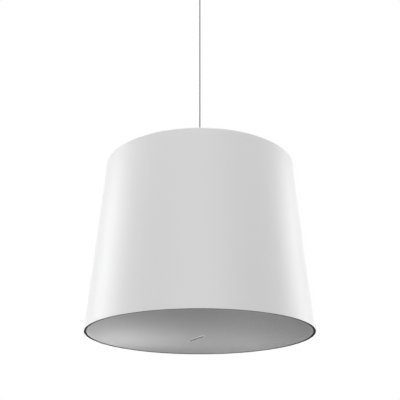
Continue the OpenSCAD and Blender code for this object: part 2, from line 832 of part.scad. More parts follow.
// Trim ring and grille
module trim_ring() {
  color("black") hung() difference() {
    rotate_extrude($fn = 180) polygon([
      [pocket_r, lip_recess], [lip_r, lip_recess], [lip_r, lip_top],
      [shade_in_r(lip_top) - fit_gap, lip_top],
      [shade_in_r(baffle_h) - fit_gap, baffle_h], [ring_flange_in_r, baffle_h],
      [ring_flange_in_r, baffle_h - ring_t],
      [shade_in_r(baffle_h) - ring_band_w, baffle_h - ring_t],
      [shade_in_r(seat_h) - ring_band_w - fit_gap, seat_h + ring_t],
      [seat_in_r, seat_h + ring_t], [seat_in_r, seat_h], [pocket_r, seat_h]
    ]);
    round_axis(8, 22.5) translate([ring_screw_r, 0, baffle_h - ring_t - cut])
      cylinder(d = small_screw_d + 2 * thread_gap, h = ring_t + 2 * cut, $fn = 32);
    round_axis(8) translate([magnet_place_r, 0, seat_h - cut])
      cylinder(d = grille_magnet_d + 2 * thread_gap, h = grille_magnet_t + cut, $fn = 32);
  }
}

module trim_screws() {
  color("dimgray") hung() round_axis(8, 22.5) translate([ring_screw_r, 0, baffle_h - ring_t])
    mirror([0, 0, 1]) screw(small_screw_d, small_head_d, small_head_h, ring_t + screw_bite);
}

module grille_magnets() {
  color("silver") hung() round_axis(8) translate([magnet_place_r, 0, seat_h])
    cylinder(d = grille_magnet_d, h = grille_magnet_t, $fn = 32);
}

module grille() {
  face_top = grille_face_h + grille_t;
  hem_low = seat_h - hem_t;
  rim_edge = [rim_r - rim_edge_r, grille_face_h + rim_edge_r];
  color("darkgray") hung() difference() {
    rotate_extrude($fn = 180) polygon(concat(
      [[0, grille_face_h]],
      [for (a = [270:15:360]) rim_edge + rim_edge_r * [cos(a), sin(a)]],
      [
        [rim_r, seat_h], [hem_in_r, seat_h], [hem_in_r, hem_low], [rim_r - rim_wall, hem_low],
        [rim_r - rim_wall, face_top], [0, face_top]
      ]
    ));
    for (k = [1:grille_hole_rings])
      round_axis(floor(2 * PI * k / hole_spread)) translate([k * grille_hole_pitch, 0, grille_face_h - cut])
        cylinder(d = grille_hole_d, h = grille_t + 2 * cut, $fn = 6);
  }
}

module grille_cloth() {
  low = grille_face_h + grille_t;
  color("black") hung() translate([0, 0, low]) cylinder(r = rim_r - rim_wall - loose_gap, h = cloth_t, $fn = 180);
}

module badge() {
  end_x = (badge_l - badge_w) / 2;
  place = [-badge_left, badge_back, grille_face_h - badge_t];
  color("silver") hung() translate(place) rotate([0, 0, badge_angle]) union() {
    translate([-end_x, -badge_w / 2, 0]) cube([2 * end_x, badge_w, badge_t]);
    for (x = [-1, 1] * end_x) translate([x, 0, 0]) cylinder(d = badge_w, h = badge_t);
  }
}

// Woofer
module woofer_basket() {
  back = basket_depth;
  color("dimgray") on_woofer() difference() {
    rotate_extrude() polygon([
      [basket_mouth_r, 0], [woofer_r, 0], [woofer_r, woofer_flange_t],
      [basket_mouth_r + basket_t, woofer_flange_t],
      [landing_out_r + basket_t, landing_h], [landing_out_r + basket_t, landing_h + basket_t],
      [basket_neck_r + basket_t, landing_h + basket_t], [basket_neck_r + basket_t, back],
      [basket_back_r, back], [basket_back_r, back - basket_t], [basket_neck_r, back - basket_t],
      [basket_neck_r, landing_h], [landing_out_r, landing_h]
    ]);
    round_axis(woofer_screw_count, 22.5) translate([woofer_screw_r, 0, -cut])
      cylinder(d = small_screw_d + 2 * thread_gap, h = woofer_flange_t + 2 * cut, $fn = 32);
    round_axis(8) translate([landing_out_r - 4, -14, 9]) cube([40, 28, landing_h - 15]);
    round_axis(4, 45) translate([basket_neck_r - 6, -10, landing_h + 8])
      cube([12, 20, back - landing_h - 16]);
  }
}

module woofer_gasket() {
  color("black") on_woofer() difference() {
    ring(cutout_r, woofer_r - 0.5, woofer_flange_t, woofer_flange_t + gasket_t);
    round_axis(woofer_screw_count, 22.5) translate([woofer_screw_r, 0, woofer_flange_t - cut])
      cylinder(d = small_screw_d + 2 * thread_gap, h = gasket_t + 2 * cut, $fn = 32);
  }
}

module woofer_screws() {
  color("gray") on_woofer() round_axis(woofer_screw_count, 22.5) translate([woofer_screw_r, 0, 0])
    mirror([0, 0, 1])
      screw(small_screw_d, small_head_d, small_head_h, woofer_flange_t + gasket_t + screw_bite);
}

module woofer_washer() {
  color("silver") on_woofer() ring(washer_in_r, washer_r, basket_depth, basket_depth + washer_t);
}

module woofer_magnet() {
  color("gray") on_woofer() ring(magnet_in_r, magnet_r, basket_depth + washer_t, magnet_top);
}

module woofer_yoke() {
  color("silver") on_woofer() rotate_extrude() polygon([
    [lead_bore_r, basket_depth], [pole_r, basket_depth], [pole_r, magnet_top],
    [washer_r, magnet_top], [washer_r, magnet_top + yoke_t], [lead_bore_r, magnet_top + yoke_t]
  ]);
}

module woofer_cone() {
  edge_in_r = cone_edge_r - cone_lip_w;
  neck_r = former_out_r;
  slope = (edge_in_r - neck_r) / cone_depth;
  cone_wall_x = cone_t * sqrt(1 + slope * slope);
  color("dimgray") on_woofer() rotate_extrude() polygon([
    [edge_in_r, 0], [cone_edge_r, 0], [cone_edge_r, cone_t],
    [edge_in_r - slope * cone_t + cone_wall_x, cone_t],
    [neck_r + cone_wall_x, cone_depth], [neck_r, cone_depth]
  ]);
}

module voice_coil() {
  color("peru") on_woofer() rotate_extrude() polygon([
    [former_r, former_low], [former_out_r, former_low],
    [former_out_r, washer_mid - winding_h / 2], [former_out_r + winding_t, washer_mid - winding_h / 2],
    [former_out_r + winding_t, washer_mid + winding_h / 2], [former_out_r, washer_mid + winding_h / 2],
    [former_out_r, former_high], [former_r, former_high]
  ]);
}

module woofer_surround() {
  mid_r = cone_edge_r + roll_r;
  roll_t = 1;
  color("black") on_woofer() rotate_extrude() difference() {
    union() {
      translate([cone_edge_r - cone_lip_w + 1, -roll_t]) square([2 * roll_r + cone_lip_w + 4, roll_t]);
      translate([mid_r, 0]) circle(r = roll_r, $fn = 64);
    }
    translate([0, 0]) square([woofer_r, 2 * roll_r]);
    translate([mid_r, 0]) circle(r = roll_r - roll_t, $fn = 64);
  }
}

module woofer_spider() {
  spider_t = 0.8;
  in_r = former_out_r;
  flat_r = basket_neck_r + 1;
  out_r = landing_out_r - 3;
  wave = 1.5;
  steps = 36;
  mid = landing_h - spider_t - wave;
  function line(s) = [in_r + (flat_r - in_r) * s, mid + wave * cos(360 * spider_waves * s)];
  color("goldenrod") on_woofer() rotate_extrude() polygon(concat(
    [for (i = [0:steps]) line(i / steps)],
    [[out_r, landing_h - spider_t], [out_r, landing_h]],
    [for (i = [steps:-1:0]) line(i / steps) + [0, spider_t]]
  ));
}

// Tweeter
module tweeter_pod() {
  color("black") on_woofer() rotate_extrude() polygon([
    [pod_in_r, pod_low], [pod_r, pod_low], [pod_r, pod_back], [pod_stem_r, pod_back],
    [pod_stem_r, basket_depth], [lead_bore_r, basket_depth], [lead_bore_r, tweeter_yoke_top],
    [pod_in_r, tweeter_yoke_top]
  ]);
}

module tweeter_bezel() {
  color("dimgray") on_woofer() rotate_extrude() polygon([
    [dome_r + 0.9, pod_low - bezel_t], [pod_r, pod_low - bezel_t], [pod_r, pod_low],
    [pod_in_r - fit_gap, pod_low], [pod_in_r - fit_gap, pod_low + 2],
    [dome_r + 0.9, pod_low + 2]
  ]);
}

module tweeter_yoke() {
  top = tweeter_yoke_top;
  out_r = pod_in_r - running_gap;
  color("silver") on_woofer() rotate_extrude() polygon([
    [0, top - tweeter_yoke_t], [tweeter_gap_r, top - tweeter_yoke_t],
    [tweeter_gap_r, top - tweeter_yoke_h], [out_r, top - tweeter_yoke_h], [out_r, top], [0, top]
  ]);
}

module tweeter_magnet() {
  high = tweeter_yoke_top - tweeter_yoke_t;
  color("gray") on_woofer() ring(0, dome_r - 3, high - tweeter_magnet_t, high);
}

module tweeter_washer() {
  high = tweeter_yoke_top - tweeter_yoke_t - tweeter_magnet_t;
  color("silver") on_woofer() ring(0, dome_r - 1, high - tweeter_washer_t, high);
}

module tweeter_dome() {
  dome_h = 5;
  dome_t = 0.5;
  ball_r = (dome_r * dome_r + dome_h * dome_h) / (2 * dome_h);
  base = pod_low + 2.2;
  coil_top = tweeter_yoke_top - tweeter_yoke_h + 3.5;
  color("lightgray") on_woofer() {
    rotate_extrude() difference() {
      translate([0, base - dome_h + ball_r]) circle(r = ball_r, $fn = 180);
      translate([0, base - dome_h + ball_r]) circle(r = ball_r - dome_t, $fn = 180);
      translate([-2 * ball_r, base]) square([4 * ball_r, 3 * ball_r]);
      translate([-2 * ball_r, -2 * ball_r]) square([2 * ball_r, 5 * ball_r]);
    }
    ring(dome_r - dome_t, dome_r, base, coil_top);
  }
}

module tweeter_surround() {
  low = pod_low + 2;
  color("black") on_woofer() ring(dome_r, pod_in_r - fit_gap, low, low + 0.6);
}

// Ports
module port_tubes() {
  low = baffle_h - port_flare_t;
  color("black") hung() for (side = [0, 1]) mirror([side, 0, 0]) translate([port_x, 0, 0])
    rotate_extrude() polygon([
      [port_r - port_wall, low], [port_flare_r, low], [port_flare_r, baffle_h],
      [port_r, baffle_h], [port_r, port_top], [port_r - port_wall, port_top]
    ]);
}

// Electrical
module crossover_board() {
  color("seagreen") hung() translate([0, parts_y, board_h]) difference() {
    translate([-board_l / 2, -board_w / 2, 0]) cube([board_l, board_w, board_t]);
    for (x = [-pillar_x, pillar_x]) for (y = [-pillar_y, pillar_y])
      translate([x, y, -cut])
        cylinder(d = pillar_screw_d + 2 * thread_gap, h = board_t + 2 * cut, $fn = 32);
  }
}

module board_pillars() {
  color("gainsboro") hung() for (x = [-pillar_x, pillar_x]) for (y = [-pillar_y, pillar_y])
    translate([x, parts_y + y, baffle_top]) {
      cylinder(d = pillar_d, h = pillar_h, $fn = 32);
      cylinder(d = pillar_screw_d, h = pillar_h + board_t + 2, $fn = 32);
    }
}

module board_coils() {
  color("peru") hung() for (x = [-1, 1] * board_l / 5)
    translate([x, parts_y + board_coil_y, board_h + board_t])
      ring(board_coil_in_r, board_coil_r, 0, board_coil_h);
}

module board_capacitors() {
  color("dimgray") hung() for (x = [-capacitor_x, capacitor_x])
    translate([x, parts_y, board_h + board_t]) cylinder(d = capacitor_d, h = capacitor_h, $fn = 48);
}

module transformer_core() {
  color("gray") hung() translate([0, -parts_y, 0]) difference() {
    union() {
      translate([-core_l / 2, -core_w / 2, core_h_low]) cube([core_l, core_w, core_h]);
      translate([-core_l / 2 - core_foot_l, -core_w / 2, baffle_top])
        cube([core_l + 2 * core_foot_l, core_w, core_foot_t]);
    }
    for (side = [0, 1]) mirror([side, 0, 0])
      translate([core_limb, -core_w / 2 - cut, core_h_low + core_limb])
        cube([core_limb, core_w + 2 * cut, core_h - 2 * core_limb]);
  }
}

module transformer_coil() {
  coil_w = core_w + 2 * core_limb - 2;
  coil_l = 4 * core_limb - 2 * fit_gap;
  color("peru") hung() translate([0, -parts_y, core_h_low + core_limb + fit_gap]) difference() {
    translate([-coil_l / 2, -coil_w / 2, 0]) cube([coil_l, coil_w, core_h - 2 * core_limb - 2 * fit_gap]);
    translate([-core_limb - fit_gap, -core_w / 2 - fit_gap, -cut])
      cube([2 * core_limb + 2 * fit_gap, core_w + 2 * fit_gap, core_h]);
  }
}

ceiling_plate();
canopy_cup();
coupler_body();
coupler_collar();
coupler_barrel();
rope_ball_end();
suspension_rope();
rope_ferrule();
gripper_body();
gripper_stud();
gripper_nut();
release_plunger();
gripping_balls();
release_spring();
hanging_bridge();
bracket_screws();
bracket_nuts();
safety_lug();
cable_gland();
gland_cap();
gland_nut();
terminal_block();
shade();
top_plate();
top_gasket();
baffle();
baffle_gasket();
tie_bars();
tie_bar_screws();
wadding();
trim_ring();
trim_screws();
grille();
grille_cloth();
grille_magnets();
badge();
woofer_basket();
woofer_gasket();
woofer_screws();
woofer_washer();
woofer_magnet();
woofer_yoke();
woofer_cone();
voice_coil();
woofer_surround();
woofer_spider();
tweeter_pod();
tweeter_bezel();
tweeter_yoke();
tweeter_magnet();
tweeter_washer();
tweeter_dome();
tweeter_surround();
port_tubes();
crossover_board();
board_pillars();
board_coils();
board_capacitors();
transformer_core();
transformer_coil();
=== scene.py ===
"""A pendant speaker on one wire rope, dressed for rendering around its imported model."""

import json
import math

import bmesh
import bpy
from bpy.props import FloatProperty, FloatVectorProperty, IntProperty, PointerProperty
from bpy.types import Operator, Panel, PropertyGroup
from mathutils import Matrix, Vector
from mathutils.geometry import delaunay_2d_cdt


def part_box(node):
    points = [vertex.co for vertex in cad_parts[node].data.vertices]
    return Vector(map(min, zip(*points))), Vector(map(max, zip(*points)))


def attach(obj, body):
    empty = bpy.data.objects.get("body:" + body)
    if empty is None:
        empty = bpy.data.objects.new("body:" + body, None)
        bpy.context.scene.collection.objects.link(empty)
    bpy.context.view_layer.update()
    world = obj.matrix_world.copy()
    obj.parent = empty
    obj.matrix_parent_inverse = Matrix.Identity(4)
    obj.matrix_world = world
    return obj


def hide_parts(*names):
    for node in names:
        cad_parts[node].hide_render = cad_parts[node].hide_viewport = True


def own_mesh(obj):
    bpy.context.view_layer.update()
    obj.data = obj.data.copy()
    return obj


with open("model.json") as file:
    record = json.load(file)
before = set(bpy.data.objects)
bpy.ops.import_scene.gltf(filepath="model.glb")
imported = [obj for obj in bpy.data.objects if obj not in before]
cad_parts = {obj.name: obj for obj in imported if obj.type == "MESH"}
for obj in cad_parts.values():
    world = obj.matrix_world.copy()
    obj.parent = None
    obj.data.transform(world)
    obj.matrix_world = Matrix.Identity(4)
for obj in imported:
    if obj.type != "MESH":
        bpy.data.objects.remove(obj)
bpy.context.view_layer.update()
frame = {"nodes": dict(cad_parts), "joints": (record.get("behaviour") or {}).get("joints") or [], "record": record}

bl_info = {
    "name": "Pendant Speaker",
    "version": (1, 0, 0),
    "blender": (4, 5, 0),
    "location": "3D View > Sidebar > Pendant Speaker",
    "description": "Builds the looks of a pendant speaker around its packed model",
    "category": "Object",
}

MM = 0.001
WHITE = (1.0, 1.0, 1.0, 1.0)

# Points that are nearer than this to each other become one
WELD = 1e-6
FINE_WELD = 1e-7


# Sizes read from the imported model

def low(node):
    """Lowest corner of a node's box."""
    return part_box(node)[0]


def high(node):
    """Highest corner of a node's box."""
    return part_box(node)[1]


def places(node):
    """The places of a node's points."""
    return [v.co for v in frame["nodes"][node].data.vertices]


def radii(node, height, reach):
    """Radii of a node's points within reach of a height."""
    return [math.hypot(p.x, p.y) for p in places(node) if abs(p.z - height) < reach]


def widest(node, height, reach=0.2 * MM):
    """Largest radius of a node near a height."""
    return max(radii(node, height, reach))


def narrowest(node, height, reach=0.2 * MM):
    """Smallest radius of a node near a height."""
    return min(radii(node, height, reach))


def span(points, axis):
    """Lowest and highest place of points along an axis."""
    values = [p[axis] for p in points]
    return min(values), max(values)


def middle(points):
    """Middle of points as seen from above."""
    return [sum(span(points, axis)) / 2 for axis in (0, 1)]


def solids(node):
    """The points of each separate solid of a node."""
    work = bmesh.new()
    work.from_mesh(frame["nodes"][node].data)
    bmesh.ops.remove_doubles(work, verts=work.verts, dist=WELD)
    seen = set()
    found = []
    for start in work.verts:
        if start in seen:
            continue
        seen.add(start)
        group = []
        edge = [start]
        while edge:
            point = edge.pop()
            group.append(point.co.copy())
            for link in point.link_edges:
                other = link.other_vert(point)
                if other not in seen:
                    seen.add(other)
                    edge.append(other)
        found.append(group)
    work.free()
    return found


SHADE_TOP = high("shade").z
SHADE_LOW = low("shade").z
SHADE_TOP_EDGE = 1.5 * MM
SHADE_TOP_RADIUS = widest("shade", SHADE_TOP - SHADE_TOP_EDGE, 0.3 * MM)
SHADE_MOUTH_RADIUS = widest("shade", SHADE_LOW, 0.3 * MM)


# Sizes and colours a user would change

class ShadeSizes(PropertyGroup):
    wall: FloatProperty(
        name="Wall", description="Thickness of the shade's wall", default=2 * MM, unit="LENGTH")
    top_rounding: FloatProperty(
        name="Top rounding", description="Radius of the top edge", default=SHADE_TOP_EDGE,
        unit="LENGTH")
    hem_rounding: FloatProperty(
        name="Hem rounding", description="Height of the lower edge's rounding", default=0.8 * MM,
        unit="LENGTH")
    segments: IntProperty(
        name="Segments", description="Steps round the shade", default=256, min=32)
    paint: FloatVectorProperty(
        name="Paint", description="Colour of the shade", default=(0.87, 0.87, 0.87),
        subtype="COLOR")


class GrilleSizes(PropertyGroup):
    hole: FloatProperty(
        name="Hole", description="Width of each hole across its corners", default=2.8 * MM,
        unit="LENGTH")
    pitch: FloatProperty(
        name="Pitch", description="Distance between neighbouring holes", default=4.5 * MM,
        unit="LENGTH")
    row_angle: FloatProperty(
        name="Row angle", description="Turn of the rows of holes", default=math.radians(11),
        subtype="ANGLE")
    plain_band: FloatProperty(
        name="Plain band", description="Width without holes inside the rim", default=0.6 * MM,
        unit="LENGTH")
    paint: FloatVectorProperty(
        name="Paint", description="Colour of the grille", default=(0.3, 0.3, 0.3),
        subtype="COLOR")


class RopeSizes(PropertyGroup):
    diameter: FloatProperty(
        name="Diameter", description="Diameter of the wire rope", default=2 * MM, unit="LENGTH")
    lay_length: FloatProperty(
        name="Lay length", description="Length of one turn of a strand", default=13 * MM,
        unit="LENGTH")
    strands: IntProperty(name="Strands", description="Strands round the core", default=6, min=3)


class FittingSizes(PropertyGroup):
    edge: FloatProperty(
        name="Edge", description="Rounding of the fittings' edges", default=0.4 * MM,
        unit="LENGTH")
    bend: FloatProperty(
        name="Bend", description="Outer radius of the bends in the bridge", default=4 * MM,
        unit="LENGTH")
    knurl_ribs: IntProperty(
        name="Knurl ribs", description="Ribs round the coupler's grip", default=54, min=12)
    knurl_depth: FloatProperty(
        name="Knurl depth", description="Depth of the knurl", default=0.35 * MM, unit="LENGTH")
    cap_ribs: IntProperty(
        name="Cap ribs", description="Ribs round the cable gland's cap", default=22, min=6)


class StageSizes(PropertyGroup):
    floor_height: FloatProperty(
        name="Floor height", description="Height of the floor", default=-2.6, unit="LENGTH")
    floor_colour: FloatVectorProperty(
        name="Floor", description="Colour of the floor", default=(0.9, 0.9, 0.9),
        subtype="COLOR")
    floor_glow: FloatProperty(
        name="Floor glow", description="Share of plain white that the camera sees near the middle",
        default=0.5, subtype="FACTOR")
    ambient: FloatProperty(
        name="Ambient", description="Strength of the light from all round", default=0.03)


class SpeakerSettings(PropertyGroup):
    shade: PointerProperty(type=ShadeSizes)
    grille: PointerProperty(type=GrilleSizes)
    rope: PointerProperty(type=RopeSizes)
    fittings: PointerProperty(type=FittingSizes)
    stage: PointerProperty(type=StageSizes)


def settings():
    """The sizes and colours that the scene keeps."""
    return bpy.context.scene.pendant_speaker


# Shader building

class Value:
    """A shader socket that takes part in sums and products."""

    def __init__(self, builder, socket):
        self.builder = builder
        self.socket = socket

    def math(self, operation, first, second=0.0):
        return self.builder.node(
            "ShaderNodeMath", {"operation": operation}, {0: first, 1: second})

    def __add__(self, other):
        return self.math("ADD", self, other)

    def __radd__(self, other):
        return self.math("ADD", other, self)

    def __mul__(self, other):
        return self.math("MULTIPLY", self, other)

    def __rmul__(self, other):
        return self.math("MULTIPLY", other, self)

    def sine(self):
        return self.math("SINE", self)

    def at_most(self, other):
        return self.math("MINIMUM", self, other)

    def at_least(self, other):
        return self.math("MAXIMUM", self, other)


class NodeBuilder:
    """Adds nodes to one node tree."""

    def __init__(self, tree):
        self.tree = tree

    def node(self, kind, setup=(), sockets=(), output=0):
        """Adds a node, sets it up, fills its sockets and gives one of its outputs."""
        made = self.tree.nodes.new(kind)
        for key, value in dict(setup).items():
            setattr(made, key, value)
        for key, value in dict(sockets).items():
            self.fill(made.inputs[key], value)
        return Value(self, made.outputs[output])

    def fill(self, socket, value):
        """Links a socket to a value from another node, or sets it to a number or colour."""
        if isinstance(value, Value):
            self.tree.links.new(value.socket, socket)
        else:
            socket.default_value = value

    def rays(self, kind):
        """1 for rays of one kind, such as camera rays, and 0 for all others."""
        return self.node("ShaderNodeLightPath", output=kind)


class Finish(NodeBuilder):
    """One procedural material, made node by node."""

    def __init__(self, name):
        self.material = bpy.data.materials.new(name)
        self.material.use_nodes = True
        super().__init__(self.material.node_tree)
        self.shader = self.tree.nodes["Principled BSDF"]
        self.place = self.node("ShaderNodeTexCoord", output="Object")

    def set(self, **sockets):
        """Fills the shader's own sockets, with _ in a name for a space."""
        for key, value in sockets.items():
            label = key.replace("_", " ").title().replace("Ior", "IOR")
            self.fill(self.shader.inputs[label], value)

    def stretched(self, stretch):
        """The place on the object, stretched along each axis."""
        return self.node(
            "ShaderNodeVectorMath", {"operation": "MULTIPLY"}, {0: self.place, 1: stretch})

    def noise(self, scale, detail, stretch=None):
        """Soft random change from 0 to 1, with about scale waves in a metre."""
        place = self.stretched(stretch) if stretch else self.place
        return self.node(
            "ShaderNodeTexNoise", {}, {"Vector": place, "Scale": scale, "Detail": detail})

    def cells(self, scale):
        """Distance to the nearest of many scattered points."""
        return self.node("ShaderNodeTexVoronoi", {}, {"Vector": self.place, "Scale": scale})

    def along(self, axis):
        """The place along one axis, in metres."""
        return self.node("ShaderNodeSeparateXYZ", {}, {0: self.place}, axis)

    def mix(self, factor, first, second):
        """A colour between two colours."""
        return self.node(
            "ShaderNodeMix", {"data_type": "RGBA"}, {0: factor, 6: first, 7: second}, 2)

    def shades(self, factor, colour, spread):
        """A colour, darker by spread where factor is 0 and lighter by spread where it is 1."""
        dark = [c * (1 - spread) for c in colour[:3]] + [1.0]
        light = [min(1.0, c * (1 + spread)) for c in colour[:3]] + [1.0]
        return self.mix(factor, dark, light)

    def bump(self, height, depth):
        """A Bump node's normal for a height from 0 to 1 over depth metres."""
        return self.node(
            "ShaderNodeBump", {}, {"Strength": 1.0, "Distance": depth, "Height": height})


def painted(finish, colour, gloss, grain, depth, spread=0.02, shine=0.5):
    """Powder coat: a fine peel, with slow changes in tone and gloss."""
    cloud = finish.noise(scale=7, detail=3)
    wear = finish.noise(scale=35, detail=3)
    peel = finish.noise(scale=grain, detail=3)
    finish.set(
        base_color=finish.shades(cloud, colour, spread),
        roughness=gloss - 0.03 + 0.06 * wear + 0.03 * peel,
        specular_ior_level=shine,
        normal=finish.bump(peel, depth),
    )


def bare_metal(finish, colour, gloss, stretch, scale, depth, spread=0.06):
    """Metal with fine lines along one direction, a little worn and uneven."""
    lines = finish.noise(scale, detail=4, stretch=stretch)
    blotch = finish.noise(scale=60, detail=4)
    finish.set(
        base_color=finish.shades(blotch, colour, spread),
        metallic=1.0,
        roughness=gloss + 0.12 * lines + 0.1 * blotch,
        normal=finish.bump(lines, depth),
    )


def moulded(finish, colour, gloss, grain, depth, shine=0.5):
    """Moulded plastic or rubber with a fine spark-eroded grain."""
    cloud = finish.noise(scale=18, detail=3)
    wear = finish.noise(scale=120, detail=3)
    finish.set(
        base_color=finish.shades(cloud, colour, 0.12),
        roughness=gloss + 0.1 * wear,
        specular_ior_level=shine,
        normal=finish.bump(finish.cells(grain), depth),
    )


def woven(finish, colour, threads, depth):
    """Cloth of crossed threads, with threads of them in a metre, and painted shade in the hollows of the weave."""
    step = threads * math.pi
    across = (step * finish.along("X")).sine()
    down = (step * finish.along("Y")).sine()
    weave_and_shade = 0.5 + 0.5 * (across * down)
    fluff = finish.noise(scale=300, detail=2)
    finish.set(
        # painted shade: the colour darkens where the weave is low, between the threads
        base_color=finish.shades(weave_and_shade, colour, 0.35),
        roughness=0.85 + 0.1 * fluff,
        specular_ior_level=0.1,
        normal=finish.bump(weave_and_shade, depth),
    )


def fibrous(finish, colour, gloss, scale, stretch, depth):
    """Paper, felt or board with fibres that cross each other."""
    fibres = finish.noise(scale, detail=6, stretch=stretch)
    wear = finish.noise(scale=90, detail=3)
    finish.set(
        base_color=finish.shades(fibres, colour, 0.15),
        roughness=gloss + 0.12 * wear,
        normal=finish.bump(fibres, depth),
    )


def wound(finish, colour, wire):
    """Turns of enamelled wire laid side by side, with painted shade in the grooves between them."""
    turns = 0.5 + 0.5 * (math.tau / wire * finish.along("Z")).sine()
    varnish = finish.noise(scale=200, detail=2)
    finish.set(
        # painted shade: the colour darkens in the grooves between the turns
        base_color=finish.shades(turns, colour, 0.3),
        metallic=0.7,
        roughness=0.28 + 0.15 * varnish,
        normal=finish.bump(turns, wire / 4),
    )


def grey(level):
    """A neutral colour."""
    return (level, level, level)


# How the lines or fibres of a finish are stretched along each axis
ROUND = (1.0, 1.0, 40.0)
FLAT = (1.0, 30.0, 1.0)

FINISHES = {
    "shade_white": (painted, lambda: dict(
        colour=settings().shade.paint, gloss=0.36, grain=1100, depth=0.02 * MM, spread=0.008)),
    "aluminium_white": (painted, lambda: dict(
        colour=grey(0.84), gloss=0.42, grain=900, depth=0.01 * MM)),
    "lid_white": (painted, lambda: dict(
        colour=grey(0.85), gloss=0.38, grain=1000, depth=0.03 * MM)),
    "grille_grey": (painted, lambda: dict(
        colour=settings().grille.paint, gloss=0.62, grain=2200, depth=0.02 * MM, shine=0.2)),
    "basket_black": (painted, lambda: dict(
        colour=(0.035, 0.035, 0.036), gloss=0.4, grain=800, depth=0.05 * MM)),
    "trim_black": (moulded, lambda: dict(
        colour=grey(0.012), gloss=0.75, grain=2600, depth=0.02 * MM, shine=0.1)),
    "nylon_black": (moulded, lambda: dict(
        colour=(0.03, 0.03, 0.032), gloss=0.45, grain=2200, depth=0.03 * MM)),
    "green_plastic": (moulded, lambda: dict(
        colour=(0.06, 0.3, 0.15), gloss=0.4, grain=2200, depth=0.02 * MM)),
    "rubber_black": (moulded, lambda: dict(
        colour=(0.02, 0.02, 0.021), gloss=0.62, grain=1800, depth=0.04 * MM)),
    "ferrite": (moulded, lambda: dict(
        colour=(0.11, 0.11, 0.115), gloss=0.6, grain=1500, depth=0.05 * MM)),
    "gasket_foam": (moulded, lambda: dict(
        colour=grey(0.04), gloss=0.9, grain=1200, depth=0.25 * MM)),
    "steel": (bare_metal, lambda: dict(
        colour=(0.42, 0.42, 0.41), gloss=0.26, stretch=FLAT, scale=220, depth=0.01 * MM)),
    "rope_steel": (bare_metal, lambda: dict(
        colour=grey(0.03), gloss=0.5, stretch=ROUND, scale=60, depth=0.01 * MM, spread=0.3)),
    "nickel": (bare_metal, lambda: dict(
        colour=(0.52, 0.51, 0.49), gloss=0.2, stretch=ROUND, scale=160, depth=0.006 * MM)),
    "brass": (bare_metal, lambda: dict(
        colour=(0.62, 0.43, 0.18), gloss=0.22, stretch=ROUND, scale=160, depth=0.008 * MM)),
    "aluminium": (bare_metal, lambda: dict(
        colour=(0.8, 0.8, 0.81), gloss=0.28, stretch=FLAT, scale=200, depth=0.01 * MM)),
    "badge_silver": (bare_metal, lambda: dict(
        colour=grey(0.9), gloss=0.25, stretch=FLAT, scale=400, depth=0.008 * MM)),
    "cloth_black": (woven, lambda: dict(colour=grey(0.02), threads=900, depth=0.15 * MM)),
    "dome_silk": (woven, lambda: dict(colour=grey(0.6), threads=2400, depth=0.03 * MM)),
    "spider_cloth": (woven, lambda: dict(
        colour=(0.62, 0.42, 0.19), threads=1500, depth=0.1 * MM)),
    "paper_cone": (fibrous, lambda: dict(
        colour=(0.05, 0.05, 0.052), gloss=0.7, scale=260, stretch=(1.0, 1.0, 3.0),
        depth=0.1 * MM)),
    "baffle_board": (fibrous, lambda: dict(
        colour=(0.06, 0.055, 0.05), gloss=0.65, scale=300, stretch=(1.0, 1.0, 1.0),
        depth=0.08 * MM)),
    "wadding_cream": (fibrous, lambda: dict(
        colour=(0.78, 0.75, 0.68), gloss=0.9, scale=130, stretch=(1.0, 1.0, 2.0),
        depth=2 * MM)),
    "board_green": (fibrous, lambda: dict(
        colour=(0.04, 0.22, 0.11), gloss=0.35, scale=500, stretch=(4.0, 1.0, 1.0),
        depth=0.02 * MM)),
    "copper": (wound, lambda: dict(colour=(0.72, 0.36, 0.17), wire=0.9 * MM)),
}


def finish_for(slot):
    """The material of one of the record's slots, made at its first use."""
    name = "finish_" + slot
    if name not in bpy.data.materials:
        recipe, look = FINISHES[slot]
        recipe(Finish(name), **look())
    return bpy.data.materials[name]


# Mesh building

def ellipse(centre, across, up, start, end, steps):
    """Points of part of an ellipse in the plane of radius and height, by angles in degrees."""
    angles = [math.radians(start + (end - start) * i / steps) for i in range(steps + 1)]
    return [(centre[0] + across * math.cos(a), centre[1] + up * math.sin(a)) for a in angles]


def arc(centre, radius, start, end, steps):
    """Points of an arc in the plane of radius and height, by its angles in degrees."""
    return ellipse(centre, radius, radius, start, end, steps)


def six_sided(flats):
    """A hexagon's radius at each angle, by its width across the flats."""
    return lambda turn: flats / 2 / math.cos((turn + math.pi / 6) % (math.pi / 3) - math.pi / 6)


def ribbed(radius, ribs, depth):
    """A ribbed grip's radius at each angle."""
    return lambda turn: radius - depth * (0.5 - 0.5 * math.cos(ribs * turn)) ** 2


def trimmed(shape, radius):
    """A radius that follows a shape but stays within a circle."""
    return lambda turn: min(shape(turn), radius)


def ring_faces(rings, segments, capped):
    """Faces between rings of points.

    Both ends are capped, or else the last ring joins the first.
    """
    faces = []
    for i in range(rings - 1 if capped else rings):
        here = i * segments
        there = (i + 1) % rings * segments
        for k in range(segments):
            j = (k + 1) % segments
            faces.append((here + k, here + j, there + j, there + k))
    if capped:
        last = (rings - 1) * segments
        faces.append(tuple(reversed(range(segments))))
        faces.append(tuple(range(last, last + segments)))
    return faces


def turned(levels, segments, bored=True, centre=(0.0, 0.0)):
    """Points and faces of levels of (radius, height) round an upright axis.

    A radius is a number or changes with the angle. The last level joins the first
    where the piece is bored, and otherwise both are closed.
    """
    points = []
    for radius, z in levels:
        for k in range(segments):
            turn = math.tau * k / segments
            r = radius(turn) if callable(radius) else radius
            points.append((centre[0] + r * math.cos(turn), centre[1] + r * math.sin(turn), z))
    return points, ring_faces(len(levels), segments, not bored)


